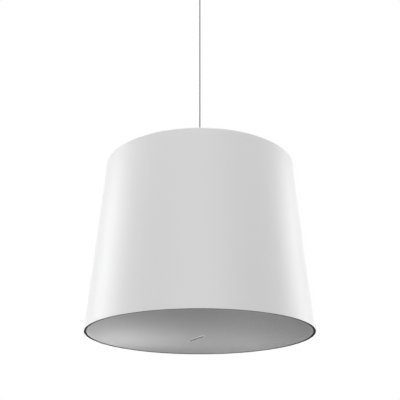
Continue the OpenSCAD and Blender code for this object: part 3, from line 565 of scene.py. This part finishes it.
def oblong(centre, along, length, width, levels):
    """Points and faces of a flat oblong with round ends, at levels of (inset, height).

    Length and width are half of the whole.
    """
    aside = Vector((-along.y, along.x, 0.0))
    steps = 24
    points = []
    for inset, z in levels:
        for side in (1, -1):
            for k in range(steps + 1):
                turn = math.pi * (k / steps - 0.5)
                x = side * (length - width + (width - inset) * math.cos(turn))
                y = side * (width - inset) * math.sin(turn)
                points.append(centre + x * along + y * aside + Vector((0.0, 0.0, z)))
    return points, ring_faces(len(levels), 2 * (steps + 1), True)


def helix_tube(centre_radius, tube_radius, start_angle, lay, top, bottom, sides, per_turn):
    """Points and faces of a tube that winds round the axis from top to bottom."""
    rings = max(2, round((top - bottom) / lay * per_turn))
    points = []
    for i in range(rings + 1):
        z = top + (bottom - top) * i / rings
        turn = start_angle + math.tau * (top - z) / lay
        out = Vector((math.cos(turn), math.sin(turn), 0))
        tangent = Vector((-math.sin(turn), math.cos(turn), 0)) * centre_radius * math.tau / lay
        tangent = (tangent - Vector((0, 0, 1))).normalized()
        side = tangent.cross(out).normalized()
        centre = out * centre_radius + Vector((0, 0, z))
        for s in range(sides):
            angle = math.tau * s / sides
            points.append(centre + tube_radius * (math.cos(angle) * out + math.sin(angle) * side))
    return points, ring_faces(rings + 1, sides, True)


def socket_screw(points, socket, socket_depth):
    """A screw with a hexagon socket, in the place of a plain one."""
    low_z, high_z = span(points, 2)
    centre = middle(points)

    def reach(z):
        """The screw's radius at a height."""
        return max(
            math.hypot(p.x - centre[0], p.y - centre[1])
            for p in points if abs(p.z - z) < 0.02 * MM)

    upward = reach(high_z) > reach(low_z)
    way = 1 if upward else -1
    face = high_z if upward else low_z
    tip = low_z if upward else high_z
    least_head = 0.5 * MM
    heights = sorted({round(p.z, 6) for p in points}, reverse=upward)
    neck = next(z for z in heights if abs(z - face) > least_head)
    head_r = reach(face)
    shank_r = reach(tip)
    soft = 0.3 * MM
    drill_end = 0.4 * MM
    point_length = 0.8 * MM
    point_cut = 0.6 * MM
    levels = [
        (six_sided(0.6 * socket), face - way * (socket_depth + drill_end)),
        (six_sided(socket), face - way * socket_depth),
        (six_sided(socket), face - way * soft / 2),
        (0.6 * socket, face),
    ]
    if reach(neck) > shank_r:
        levels += [
            (head_r - 2.5 * soft, face), (head_r - soft, face - way * soft / 2),
            (head_r, face - way * 1.5 * soft), (head_r, neck), (shank_r, neck),
        ]
    else:
        levels += [(head_r - soft / 3, face), (head_r, face - way * soft / 3), (shank_r, neck)]
    levels += [(shank_r, tip + way * point_length), (shank_r - point_cut, tip)]
    return turned(levels, 48, False, centre)


def hole_places(radius, pitch, angle):
    """Centres of holes in staggered rows within a radius."""
    row = pitch * math.sqrt(3) / 2
    reach = int(radius / row) + 2
    centres = []
    for j in range(-reach, reach + 1):
        for i in range(-reach, reach + 1):
            x = (i + 0.5 * (j % 2)) * pitch
            y = j * row
            if math.hypot(x, y) <= radius:
                centres.append(Vector((x, y)))
    cosine = math.cos(angle)
    sine = math.sin(angle)
    return [Vector((p.x * cosine - p.y * sine, p.x * sine + p.y * cosine)) for p in centres]


def perforated_disc(radius, centres, hole_radius, angle, under, over):
    """A flat disc with six-sided holes, from one height to another."""
    edge_steps = 256
    flat = []
    for k in range(edge_steps):
        turn = math.tau * k / edge_steps
        flat.append(Vector((radius * math.cos(turn), radius * math.sin(turn))))
    loops = [list(range(edge_steps))]
    owner = [-1] * edge_steps
    for number, centre in enumerate(centres):
        first = len(flat)
        for k in range(6):
            turn = angle + math.pi / 6 + math.pi / 3 * k
            flat.append(centre + hole_radius * Vector((math.cos(turn), math.sin(turn))))
            owner.append(number)
        loops.append([first + k for k in range(6)])
    edges = [(loop[k], loop[(k + 1) % len(loop)]) for loop in loops for k in range(len(loop))]
    found = delaunay_2d_cdt(flat, edges, [], 0, FINE_WELD)
    place_of = [ids[0] for ids in found[3]]
    faces = []
    for face in found[2]:
        corners = [place_of[i] for i in face]
        owners = {owner[i] for i in corners}
        if len(owners) == 1 and -1 not in owners:
            continue
        faces.append(tuple(corners))
    count = len(flat)
    points = [(p.x, p.y, under) for p in flat] + [(p.x, p.y, over) for p in flat]
    walls = [(a, b, count + b, count + a) for a, b in edges]
    upper = [tuple(count + i for i in reversed(face)) for face in faces]
    return points, faces + upper + walls


def joined(parts):
    """Several lists of points and faces as one."""
    points = []
    faces = []
    for some_points, some_faces in parts:
        first = len(points)
        points += some_points
        faces += [tuple(first + i for i in face) for face in some_faces]
    return points, faces


def make_piece(name, shape, slot, nodes, body="pendant", sharp=35.0):
    """A piece from points and faces, which rides on a body and stands for CAD nodes."""
    points, faces = shape
    mesh = bpy.data.meshes.new(name)
    mesh.from_pydata(points, [], faces)
    work = bmesh.new()
    work.from_mesh(mesh)
    bmesh.ops.remove_doubles(work, verts=work.verts, dist=FINE_WELD)
    bmesh.ops.recalc_face_normals(work, faces=work.faces)
    return finish_piece(name, mesh, work, slot, nodes, body, sharp)


def softened(name, node, slot, rounding, body="pendant", bends=None):
    """A copy of a CAD node with its edges rounded, which stands for the node.

    Bends gives a larger rounding for the edges that it names, or nothing for the others.
    """
    mesh = bpy.data.meshes.new(name)
    work = bmesh.new()
    work.from_mesh(frame["nodes"][node].data)
    bmesh.ops.remove_doubles(work, verts=work.verts, dist=WELD)
    bmesh.ops.dissolve_limit(
        work, angle_limit=math.radians(1), verts=work.verts, edges=work.edges)
    least_corner = math.radians(30)

    def corners():
        return [
            e for e in work.edges
            if len(e.link_faces) == 2 and e.calc_face_angle() > least_corner
        ]

    def bevel(edges, radius, segments):
        bmesh.ops.bevel(
            work, geom=edges, offset=radius, offset_type="OFFSET", segments=segments,
            profile=0.5, affect="EDGES", clamp_overlap=True)

    if bends:
        for radius in sorted({bends(e) for e in corners()} - {None}, reverse=True):
            bevel([e for e in corners() if bends(e) == radius], radius, 6)
    bevel(corners(), rounding, 2)
    return finish_piece(name, mesh, work, slot, [node], body, 35.0)


def finish_piece(name, mesh, work, slot, nodes, body, sharp):
    """Puts a worked mesh into the scene as a piece."""
    work.to_mesh(mesh)
    work.free()
    mesh.shade_smooth()
    mesh.set_sharp_from_angle(angle=math.radians(sharp))
    piece = bpy.data.objects.new(name, mesh)
    bpy.context.scene.collection.objects.link(piece)
    flat_faces = piece.modifiers.new("even normals", "WEIGHTED_NORMAL")
    flat_faces.keep_sharp = True
    flat_faces.weight = 80
    mesh.materials.append(finish_for(slot))
    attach(piece, body)
    if nodes:
        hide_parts(*nodes)
    return piece


# Pieces, each built by an operator

class PENDANT_OT_stage(Operator):
    """Make the camera, the lamps, the surroundings and the pale floor"""

    bl_idname = "pendant.stage"
    bl_label = "Stage"

    CAMERA_PLACE = (0.0, -1.2873, -1.0435)
    CAMERA_TILT = 21.4
    CAMERA_LENS = 66.96
    CAMERA_SHIFT = 0.0003
    AIM = Vector((0.0, 0.0, -0.64))
    FLOOR_RADIUS = 14.0
    GLOW_REACH = 5.0

    # Each lamp's name, place, width and height, and power in watts
    LAMPS = (
        ("left_strip", (-2.1, 0.3, -0.55), (1.1, 2.4), 21.4),
        ("left_back_strip", (-2.05, 1.05, -0.55), (0.7, 2.4), 11.4),
        ("left_far_strip", (-1.3, 2.0, -0.55), (0.6, 2.4), 1.0),
        ("right_strip", (2.2, 0.55, -0.55), (0.9, 2.4), 17.7),
        ("right_back_strip", (1.95, 1.2, -0.55), (0.6, 2.4), 12.8),
        ("right_far_strip", (1.3, 2.0, -0.55), (0.6, 2.4), 4.1),
        ("front", (0.0, -2.3, -0.55), (2.4, 2.4), 28.8),
        ("back", (0.0, 2.3, -0.4), (2.4, 2.4), 9.6),
        ("top", (0.0, -0.4, 1.6), (1.6, 1.6), 35.0),
        ("under_left", (-0.15, 0.02, -0.93), (0.1, 0.1), 0.19),
        ("under_left_back", (-0.17, 0.07, -0.9), (0.1, 0.1), 0.165),
        ("under_right", (0.1, 0.1, -0.95), (0.1, 0.1), 0.217),
    )

    def execute(self, context):
        scene = context.scene
        sizes = settings().stage
        self.add_camera(scene)
        for name, place, size, power in self.LAMPS:
            self.add_lamp(scene, name, place, size, power)
        self.fill_world(scene, sizes.ambient)
        self.add_floor(scene, sizes)
        scene.view_settings.view_transform = "Standard"
        return {"FINISHED"}

    def add_camera(self, scene):
        camera = bpy.data.objects.new("camera", bpy.data.cameras.new("camera"))
        scene.collection.objects.link(camera)
        camera.location = self.CAMERA_PLACE
        camera.rotation_euler = (math.radians(90 + self.CAMERA_TILT), 0.0, 0.0)
        camera.data.sensor_width = 36.0
        camera.data.lens = self.CAMERA_LENS
        camera.data.shift_x = self.CAMERA_SHIFT
        scene.camera = camera

    def add_lamp(self, scene, name, place, size, power):
        light = bpy.data.lights.new(name, "AREA")
        light.shape = "RECTANGLE"
        light.size, light.size_y = size
        light.energy = power
        lamp = bpy.data.objects.new(name, light)
        lamp.location = place
        lamp.rotation_euler = (self.AIM - lamp.location).to_track_quat("-Z", "Y").to_euler()
        lamp.visible_camera = False
        scene.collection.objects.link(lamp)

    def fill_world(self, scene, ambient):
        world = bpy.data.worlds.new("surroundings")
        scene.world = world
        world.use_nodes = True
        sky = NodeBuilder(world.node_tree)
        background = world.node_tree.nodes["Background"]
        seen = sky.rays("Is Camera Ray").at_least(sky.rays("Is Glossy Ray"))
        seen = seen.at_least(sky.rays("Is Transmission Ray"))
        sky.fill(background.inputs["Color"], WHITE)
        sky.fill(background.inputs["Strength"], ambient + (1 - ambient) * seen)

    def add_floor(self, scene, sizes):
        mesh = bpy.data.meshes.new("floor")
        work = bmesh.new()
        bmesh.ops.create_circle(work, cap_ends=True, radius=self.FLOOR_RADIUS, segments=96)
        work.to_mesh(mesh)
        work.free()
        floor = bpy.data.objects.new("floor", mesh)
        floor.location.z = sizes.floor_height
        scene.collection.objects.link(floor)
        finish = Finish("floor_paint")
        cloud = finish.noise(scale=0.6, detail=2)
        finish.set(base_color=finish.shades(cloud, sizes.floor_colour, 0.01), roughness=0.8)
        away = finish.node(
            "ShaderNodeVectorMath", {"operation": "LENGTH"}, {0: finish.place}, "Value")
        growth = (1 - sizes.floor_glow) / self.GLOW_REACH
        glow = (sizes.floor_glow + growth * away).at_most(1.0)
        white = finish.node("ShaderNodeEmission", {}, {"Color": WHITE, "Strength": 1.0})
        paint = Value(finish, finish.shader.outputs[0])
        both = finish.node(
            "ShaderNodeMixShader", {},
            {0: glow * finish.rays("Is Camera Ray"), 1: paint, 2: white})
        finish.fill(finish.tree.nodes["Material Output"].inputs["Surface"], both)
        mesh.materials.append(finish.material)


class PENDANT_OT_rope(Operator):
    """Make the wire rope from its strands"""

    bl_idname = "pendant.rope"
    bl_label = "Rope"

    def execute(self, context):
        sizes = settings().rope
        top = high("suspension_rope").z
        bottom = low("suspension_rope").z
        strand_r = sizes.diameter / 6
        parts = [helix_tube(0.0, strand_r, 0.0, sizes.lay_length, top, bottom, 6, 1)]
        for k in range(sizes.strands):
            turn = math.tau * k / sizes.strands
            parts.append(
                helix_tube(2 * strand_r, strand_r, turn, sizes.lay_length, top, bottom, 6, 12))
        rope = make_piece(
            "wire_rope", joined(parts), "rope_steel", ["suspension_rope"], sharp=75.0)
        return {"FINISHED"}


class PENDANT_OT_shade(Operator):
    """Make the shade with its rounded edges and its inner ledge"""

    bl_idname = "pendant.shade"
    bl_label = "Shade"

    def execute(self, context):
        sizes = settings().shade
        height = SHADE_TOP - SHADE_LOW
        slope = (SHADE_MOUTH_RADIUS - SHADE_TOP_RADIUS) / (height - sizes.top_rounding)
        lean = math.sqrt(1 + slope * slope)
        normal = math.degrees(math.atan(slope))

        def outer(z):
            return SHADE_MOUTH_RADIUS - slope * (z - SHADE_LOW)

        def inner(z):
            return outer(z) - sizes.wall * lean

        hem_z = SHADE_LOW + sizes.hem_rounding
        top_z = SHADE_TOP - sizes.top_rounding
        lip_z = min(p.z for p in places("shade") if p.z > SHADE_LOW + 0.5 * MM)
        skin_r = narrowest("shade", SHADE_LOW, 0.1 * MM)
        skin = SHADE_MOUTH_RADIUS - skin_r
        hem_w = 0.6 * skin
        soft = 0.15 * MM
        ledge_z = high("baffle_gasket").z
        ledge_top = low("wadding").z
        ledge_r = narrowest("baffle_gasket", ledge_z)
        flange_r = narrowest("top_gasket", SHADE_TOP, 5 * MM)
        flange_z = SHADE_TOP - sizes.wall
        outline = [
            (inner(lip_z), lip_z), (outer(lip_z) - skin, lip_z), (skin_r, SHADE_LOW + 2 * soft),
            (skin_r + soft, SHADE_LOW),
        ]
        outline += ellipse((outer(hem_z) - hem_w, hem_z), hem_w, sizes.hem_rounding, -90, 0, 8)
        side_heights = [hem_z + (top_z - hem_z) * k / 6 for k in range(1, 6)]
        outline += [(outer(z), z) for z in side_heights]
        outline += arc(
            (outer(top_z) - sizes.top_rounding * lean, top_z), sizes.top_rounding, normal, 90, 8)
        outline += [
            (flange_r, SHADE_TOP), (flange_r, flange_z), (inner(flange_z), flange_z),
            (inner(ledge_top), ledge_top), (ledge_r, ledge_top), (ledge_r, ledge_z),
            (inner(ledge_z), ledge_z),
        ]
        make_piece("shade_shell", turned(outline, sizes.segments), "shade_white", ["shade"])
        return {"FINISHED"}


class PENDANT_OT_grille(Operator):
    """Make the perforated sheet, its rim, the cloth behind it and the plain badge with its strip of painted shade
    """

    bl_idname = "pendant.grille"
    bl_label = "Grille"

    def execute(self, context):
        sizes = settings().grille
        face = low("grille").z
        back = low("grille_cloth").z
        rim_r = high("grille").x
        rounding = 1 * MM
        sheet_r = rim_r - rounding
        centres = hole_places(
            rim_r - rounding - sizes.plain_band - sizes.hole / 2, sizes.pitch, sizes.row_angle)
        disc = perforated_disc(sheet_r, centres, sizes.hole / 2, sizes.row_angle, face, back)
        make_piece("grille_sheet", disc, "grille_grey", ["grille"])
        self.add_rim(rim_r, sheet_r, rounding, face, back)
        self.add_cloth()
        self.add_badge()
        return {"FINISHED"}

    def add_rim(self, rim_r, sheet_r, rounding, face, back):
        top = high("grille").z
        soft = 0.3 * MM
        hem_in = narrowest("grille", top, 0.1 * MM)
        hem_low = top - 0.8 * MM
        wall_in = rim_r - 1.5 * MM
        outline = [(sheet_r, face)]
        outline += arc((sheet_r, face + rounding), rounding, -75, 0, 5)
        outline += [
            (rim_r, top - soft), (rim_r - soft, top), (hem_in, top), (hem_in, hem_low),
            (wall_in, hem_low), (wall_in, back), (sheet_r, back),
        ]
        make_piece("grille_rim", turned(outline, 256), "grille_grey", [])

    def add_cloth(self):
        radius = high("grille_cloth").x
        under = low("grille_cloth").z
        over = high("grille_cloth").z
        rings = 12
        outline = [(radius * k / rings, under) for k in range(1, rings + 1)]
        outline += [(radius * k / rings, over) for k in range(rings, 0, -1)]
        cloth = make_piece(
            "grille_cloth_disc", turned(outline, 128, False), "cloth_black", ["grille_cloth"])

    def add_badge(self):
        corners = places("badge")
        under = low("badge").z
        over = high("badge").z
        centre = Vector((*middle(corners), 0.0))
        around = [p - centre for p in corners]
        angle = 0.5 * math.atan2(
            sum(2 * p.x * p.y for p in around), sum(p.x * p.x - p.y * p.y for p in around))
        along = Vector((math.cos(angle), math.sin(angle), 0.0))
        aside = Vector((-math.sin(angle), math.cos(angle), 0.0))
        half_length = max(abs(p.dot(along)) for p in around)
        half_width = max(abs(p.dot(aside)) for p in around)
        face = under + 0.08 * MM
        plate_levels = [
            (0.0, over), (0.0, face + 0.15 * MM), (0.15 * MM, face + 0.03 * MM), (0.4 * MM, face),
        ]
        # A black strip along one long side of the badge is painted shade: it darkens that side and leaves a bright
        # band along the other.
        strip_levels = [(0.0, face + 0.05 * MM), (0.0, under + 0.03 * MM), (0.1 * MM, under)]
        strip_half = 0.52 * half_width
        strip_side = 0.7 * MM
        strip_end = 3 * MM
        strip_centre = centre + (half_width - strip_half - strip_side) * aside
        plate = oblong(centre, along, half_length, half_width, plate_levels)
        shade_strip = oblong(strip_centre, along, half_length - strip_end, strip_half, strip_levels)
        make_piece("plain_badge", plate, "badge_silver", ["badge"])
        make_piece("badge_shade_strip", shade_strip, "trim_black", [])


class PENDANT_OT_ceiling_fitting(Operator):
    """Make the canopy cup, the knurled coupler, its collar and its turning barrel"""

    bl_idname = "pendant.ceiling_fitting"
    bl_label = "Ceiling fitting"

    def execute(self, context):
        sizes = settings().fittings
        self.add_canopy()
        self.add_coupler(sizes)
        softened("collar_ring", "coupler_collar", "nickel", sizes.edge / 2, "ceiling_fitting")
        softened("ceiling_strap", "ceiling_plate", "steel", sizes.edge, "ceiling_fitting")
        softened("turning_barrel", "coupler_barrel", "steel", sizes.edge, "coupler_barrel")
        return {"FINISHED"}

    def add_canopy(self):
        radius = high("canopy_cup").x
        base = low("canopy_cup").z
        rim = high("canopy_cup").z
        bore = narrowest("canopy_cup", base)
        wall = 1.2 * MM
        edge = 3 * MM
        bore_soft = 0.3 * MM
        rim_soft = 0.4 * MM
        bend = (radius - edge, base + edge)
        outline = [
            (bore, base + wall), (bore, base + bore_soft), (bore + bore_soft, base),
            (radius * 0.5, base),
        ]
        outline += arc(bend, edge, -90, 0, 10)
        outline += [
            (radius, rim - 6 * MM), (radius, rim - rim_soft), (radius - rim_soft, rim),
            (radius - wall, rim),
        ]
        outline += arc(bend, edge - wall, 0, -90, 6)
        make_piece(
            "canopy_dome", turned(outline, 160), "aluminium_white", ["canopy_cup"],
            "ceiling_fitting")

    def add_coupler(self, sizes):
        top = low("canopy_cup").z
        base = low("coupler_body").z
        stud_top = high("coupler_body").z
        grip_r = widest("coupler_body", base)
        bore = narrowest("coupler_body", base)
        stud_r = widest("coupler_body", stud_top)
        chamber_top = max(
            p.z for p in places("coupler_body") if abs(math.hypot(p.x, p.y) - bore) < 0.1 * MM)
        knurl = ribbed(grip_r, sizes.knurl_ribs, sizes.knurl_depth)
        groove = grip_r - 0.5 * MM
        stud_cut = 0.6 * MM
        stud_bore = 0.3 * stud_r
        end_band = [(grip_r, 2.4 * MM), (groove, 2.8 * MM), (groove, 3.4 * MM), (knurl, 3.9 * MM)]
        outline = [(bore, base), (grip_r - 0.3 * MM, base), (grip_r, base + 0.3 * MM)]
        outline += [(radius, base + height) for radius, height in end_band]
        outline += [(radius, top - height) for radius, height in reversed(end_band)]
        outline += [
            (grip_r, top - 0.5 * MM), (grip_r - 0.5 * MM, top), (stud_r, top),
            (stud_r, stud_top - stud_cut), (stud_r - stud_cut, stud_top),
            (stud_bore, stud_top), (stud_bore, chamber_top), (bore, chamber_top),
        ]
        make_piece(
            "coupler_grip", turned(outline, sizes.knurl_ribs * 6), "steel", ["coupler_body"],
            "ceiling_fitting")


class PENDANT_OT_gripper(Operator):
    """Make the gripper's grooved body, its chamfered nut, its release plunger and spring"""

    bl_idname = "pendant.gripper"
    bl_label = "Gripper"

    def execute(self, context):
        sizes = settings().fittings
        softened("gripper_shell", "gripper_body", "steel", sizes.edge)
        softened("release_button", "release_plunger", "brass", sizes.edge / 2, "release_plunger")
        self.add_nut()
        self.add_spring()
        return {"FINISHED"}

    def add_nut(self):
        under = low("gripper_nut").z
        over = high("gripper_nut").z
        flats = 2 * high("gripper_nut").y
        bore = narrowest("gripper_nut", under)
        corner = six_sided(flats)
        washer = trimmed(corner, flats / 2)
        face_r = flats / 2 * 0.94
        cut = 0.9 * MM
        soft = 0.2 * MM
        bore_cut = 0.5 * MM
        levels = [
            (bore, under + bore_cut), (bore + bore_cut, under), (face_r, under),
            (washer, under + soft), (corner, under + cut), (corner, over - cut),
            (washer, over - soft), (face_r, over), (bore, over),
        ]
        make_piece("chamfered_nut", turned(levels, 96), "steel", ["gripper_nut"])

    def add_spring(self):
        wire = 0.4 * MM
        turns = 4
        under = low("release_spring").z
        over = high("release_spring").z
        radius = high("release_spring").x - wire
        lay = (over - under - 2 * wire) / turns
        shape = helix_tube(radius, wire, 0.0, lay, over - wire, under + wire, 8, 24)
        spring = make_piece("release_coil", shape, "steel", ["release_spring"])
        travel = next(j for j in frame["joints"] if j["name"] == "gripper_release")["range_m"][1]
        1 - travel / (over - under)
        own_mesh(spring)


class PENDANT_OT_top(Operator):
    """Make the lid, the bent bridge, the lug, the cable gland and all screws on the top"""

    bl_idname = "pendant.top"
    bl_label = "Top of the speaker"

    def execute(self, context):
        sizes = settings().fittings
        softened("lid_plate", "top_plate", "lid_white", sizes.edge)
        softened("bent_bridge", "hanging_bridge", "steel", sizes.edge, bends=self.bridge_bend)
        softened("lug_plate", "safety_lug", "steel", sizes.edge, bends=self.lug_bend)
        softened("gland_shell", "cable_gland", "nylon_black", sizes.edge)
        self.add_gland_cap(sizes)
        self.add_screws("socket_screws", "bracket_screws")
        self.add_screws("lid_screws", "tie_bar_screws")
        return {"FINISHED"}

    def add_screws(self, name, node):
        socket = 3 * MM
        socket_depth = 1.8 * MM
        screws = [socket_screw(points, socket, socket_depth) for points in solids(node)]
        make_piece(name, joined(screws), "nickel", [node])

    def bridge_bend(self, edge):
        """The radius at one of the bridge's bends, which run from front to back."""
        bend = settings().fittings.bend
        thick = 3 * MM
        least_run = 20 * MM
        near = 0.2 * MM
        a, b = (v.co for v in edge.verts)
        if abs(a.y - b.y) < least_run:
            return None
        top = high("hanging_bridge").z
        base = low("hanging_bridge").z
        leg_out = max(abs(p.x) for p in places("hanging_bridge") if abs(p.z - top) < 0.1 * MM)
        bend_places = (
            (leg_out, top, bend), (leg_out - thick, top - thick, bend - thick),
            (leg_out, base + thick, bend - thick), (leg_out - thick, base, bend),
        )
        for x, z, radius in bend_places:
            if abs(abs(a.x) - x) < near and abs(a.z - z) < near:
                return radius
        return None

    def lug_bend(self, edge):
        """The radius at the lug's one bend."""
        bend = settings().fittings.bend
        thick = high("safety_lug").x
        least_run = 18 * MM
        near = 0.2 * MM
        a, b = (v.co for v in edge.verts)
        if abs(a.y - b.y) < least_run:
            return None
        base = low("safety_lug").z
        left = low("safety_lug").x
        if abs(a.x - left) < near and abs(a.z - base) < near:
            return bend
        if abs(a.x + left) < near and base + 1 * MM < a.z < base + thick:
            return bend / 4
        return None

    def add_gland_cap(self, sizes):
        points = places("gland_cap")
        centre = middle(points)
        left, right = span(points, 0)
        under, over = span(points, 2)
        radius = (right - left) / 2
        reaches = [(math.hypot(p.x - centre[0], p.y - centre[1]), p.z) for p in points]
        shoulder = max(z for r, z in reaches if r > radius - 0.1 * MM)
        nose = max(r for r, z in reaches if z > over - 0.1 * MM)
        hole = min(r for r, z in reaches)
        thread = min(r for r, z in reaches if z < under + 0.1 * MM)
        ribs = ribbed(radius, sizes.cap_ribs, 0.7 * MM)
        flat = radius - 0.75 * MM
        rib_end = 0.8 * MM
        soft = 0.4 * MM
        crown = 0.6 * MM
        levels = [
            (thread, under), (flat, under), (ribs, under + rib_end), (ribs, shoulder - rib_end),
            (flat, shoulder), (0.5 * (flat + nose), 0.5 * (shoulder + over) + crown),
            (nose, over), (hole + soft, over), (hole, over - soft), (hole, shoulder),
            (thread, shoulder),
        ]
        make_piece(
            "ribbed_cap", turned(levels, sizes.cap_ribs * 8, True, centre), "nylon_black",
            ["gland_cap"])


class PENDANT_OT_finishes(Operator):
    """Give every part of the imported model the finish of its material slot"""

    bl_idname = "pendant.finishes"
    bl_label = "Finishes"

    def execute(self, context):
        for part in frame["record"]["subparts"]:
            node = frame["nodes"][part["node"]]
            for slot in node.material_slots:
                slot.material = finish_for(part["material_slot"])
        return {"FINISHED"}


class PENDANT_PT_panel(Panel):
    bl_label = "Pendant Speaker"
    bl_space_type = "VIEW_3D"
    bl_region_type = "UI"
    bl_category = "Pendant Speaker"

    def draw(self, context):
        speaker = context.scene.pendant_speaker
        for label, sizes in (
            ("Shade", speaker.shade), ("Grille", speaker.grille), ("Rope", speaker.rope),
            ("Fittings", speaker.fittings), ("Stage", speaker.stage),
        ):
            box = self.layout.box()
            box.label(text=label)
            for name in sizes.__annotations__:
                box.prop(sizes, name)
        for operator in OPERATORS:
            self.layout.operator(operator.bl_idname)


OPERATORS = (
    PENDANT_OT_stage, PENDANT_OT_rope, PENDANT_OT_shade, PENDANT_OT_grille,
    PENDANT_OT_ceiling_fitting, PENDANT_OT_gripper, PENDANT_OT_top, PENDANT_OT_finishes,
)
CLASSES = (
    ShadeSizes, GrilleSizes, RopeSizes, FittingSizes, StageSizes, SpeakerSettings, *OPERATORS,
    PENDANT_PT_panel,
)


def register():
    for cls in CLASSES:
        bpy.utils.register_class(cls)
    bpy.types.Scene.pendant_speaker = PointerProperty(type=SpeakerSettings)


def unregister():
    del bpy.types.Scene.pendant_speaker
    for cls in reversed(CLASSES):
        bpy.utils.unregister_class(cls)


def main():
    register()
    bpy.ops.pendant.stage()
    bpy.ops.pendant.rope()
    bpy.ops.pendant.shade()
    bpy.ops.pendant.grille()
    bpy.ops.pendant.ceiling_fitting()
    bpy.ops.pendant.gripper()
    bpy.ops.pendant.top()
    bpy.ops.pendant.finishes()


if __name__ == "__main__":
    main()
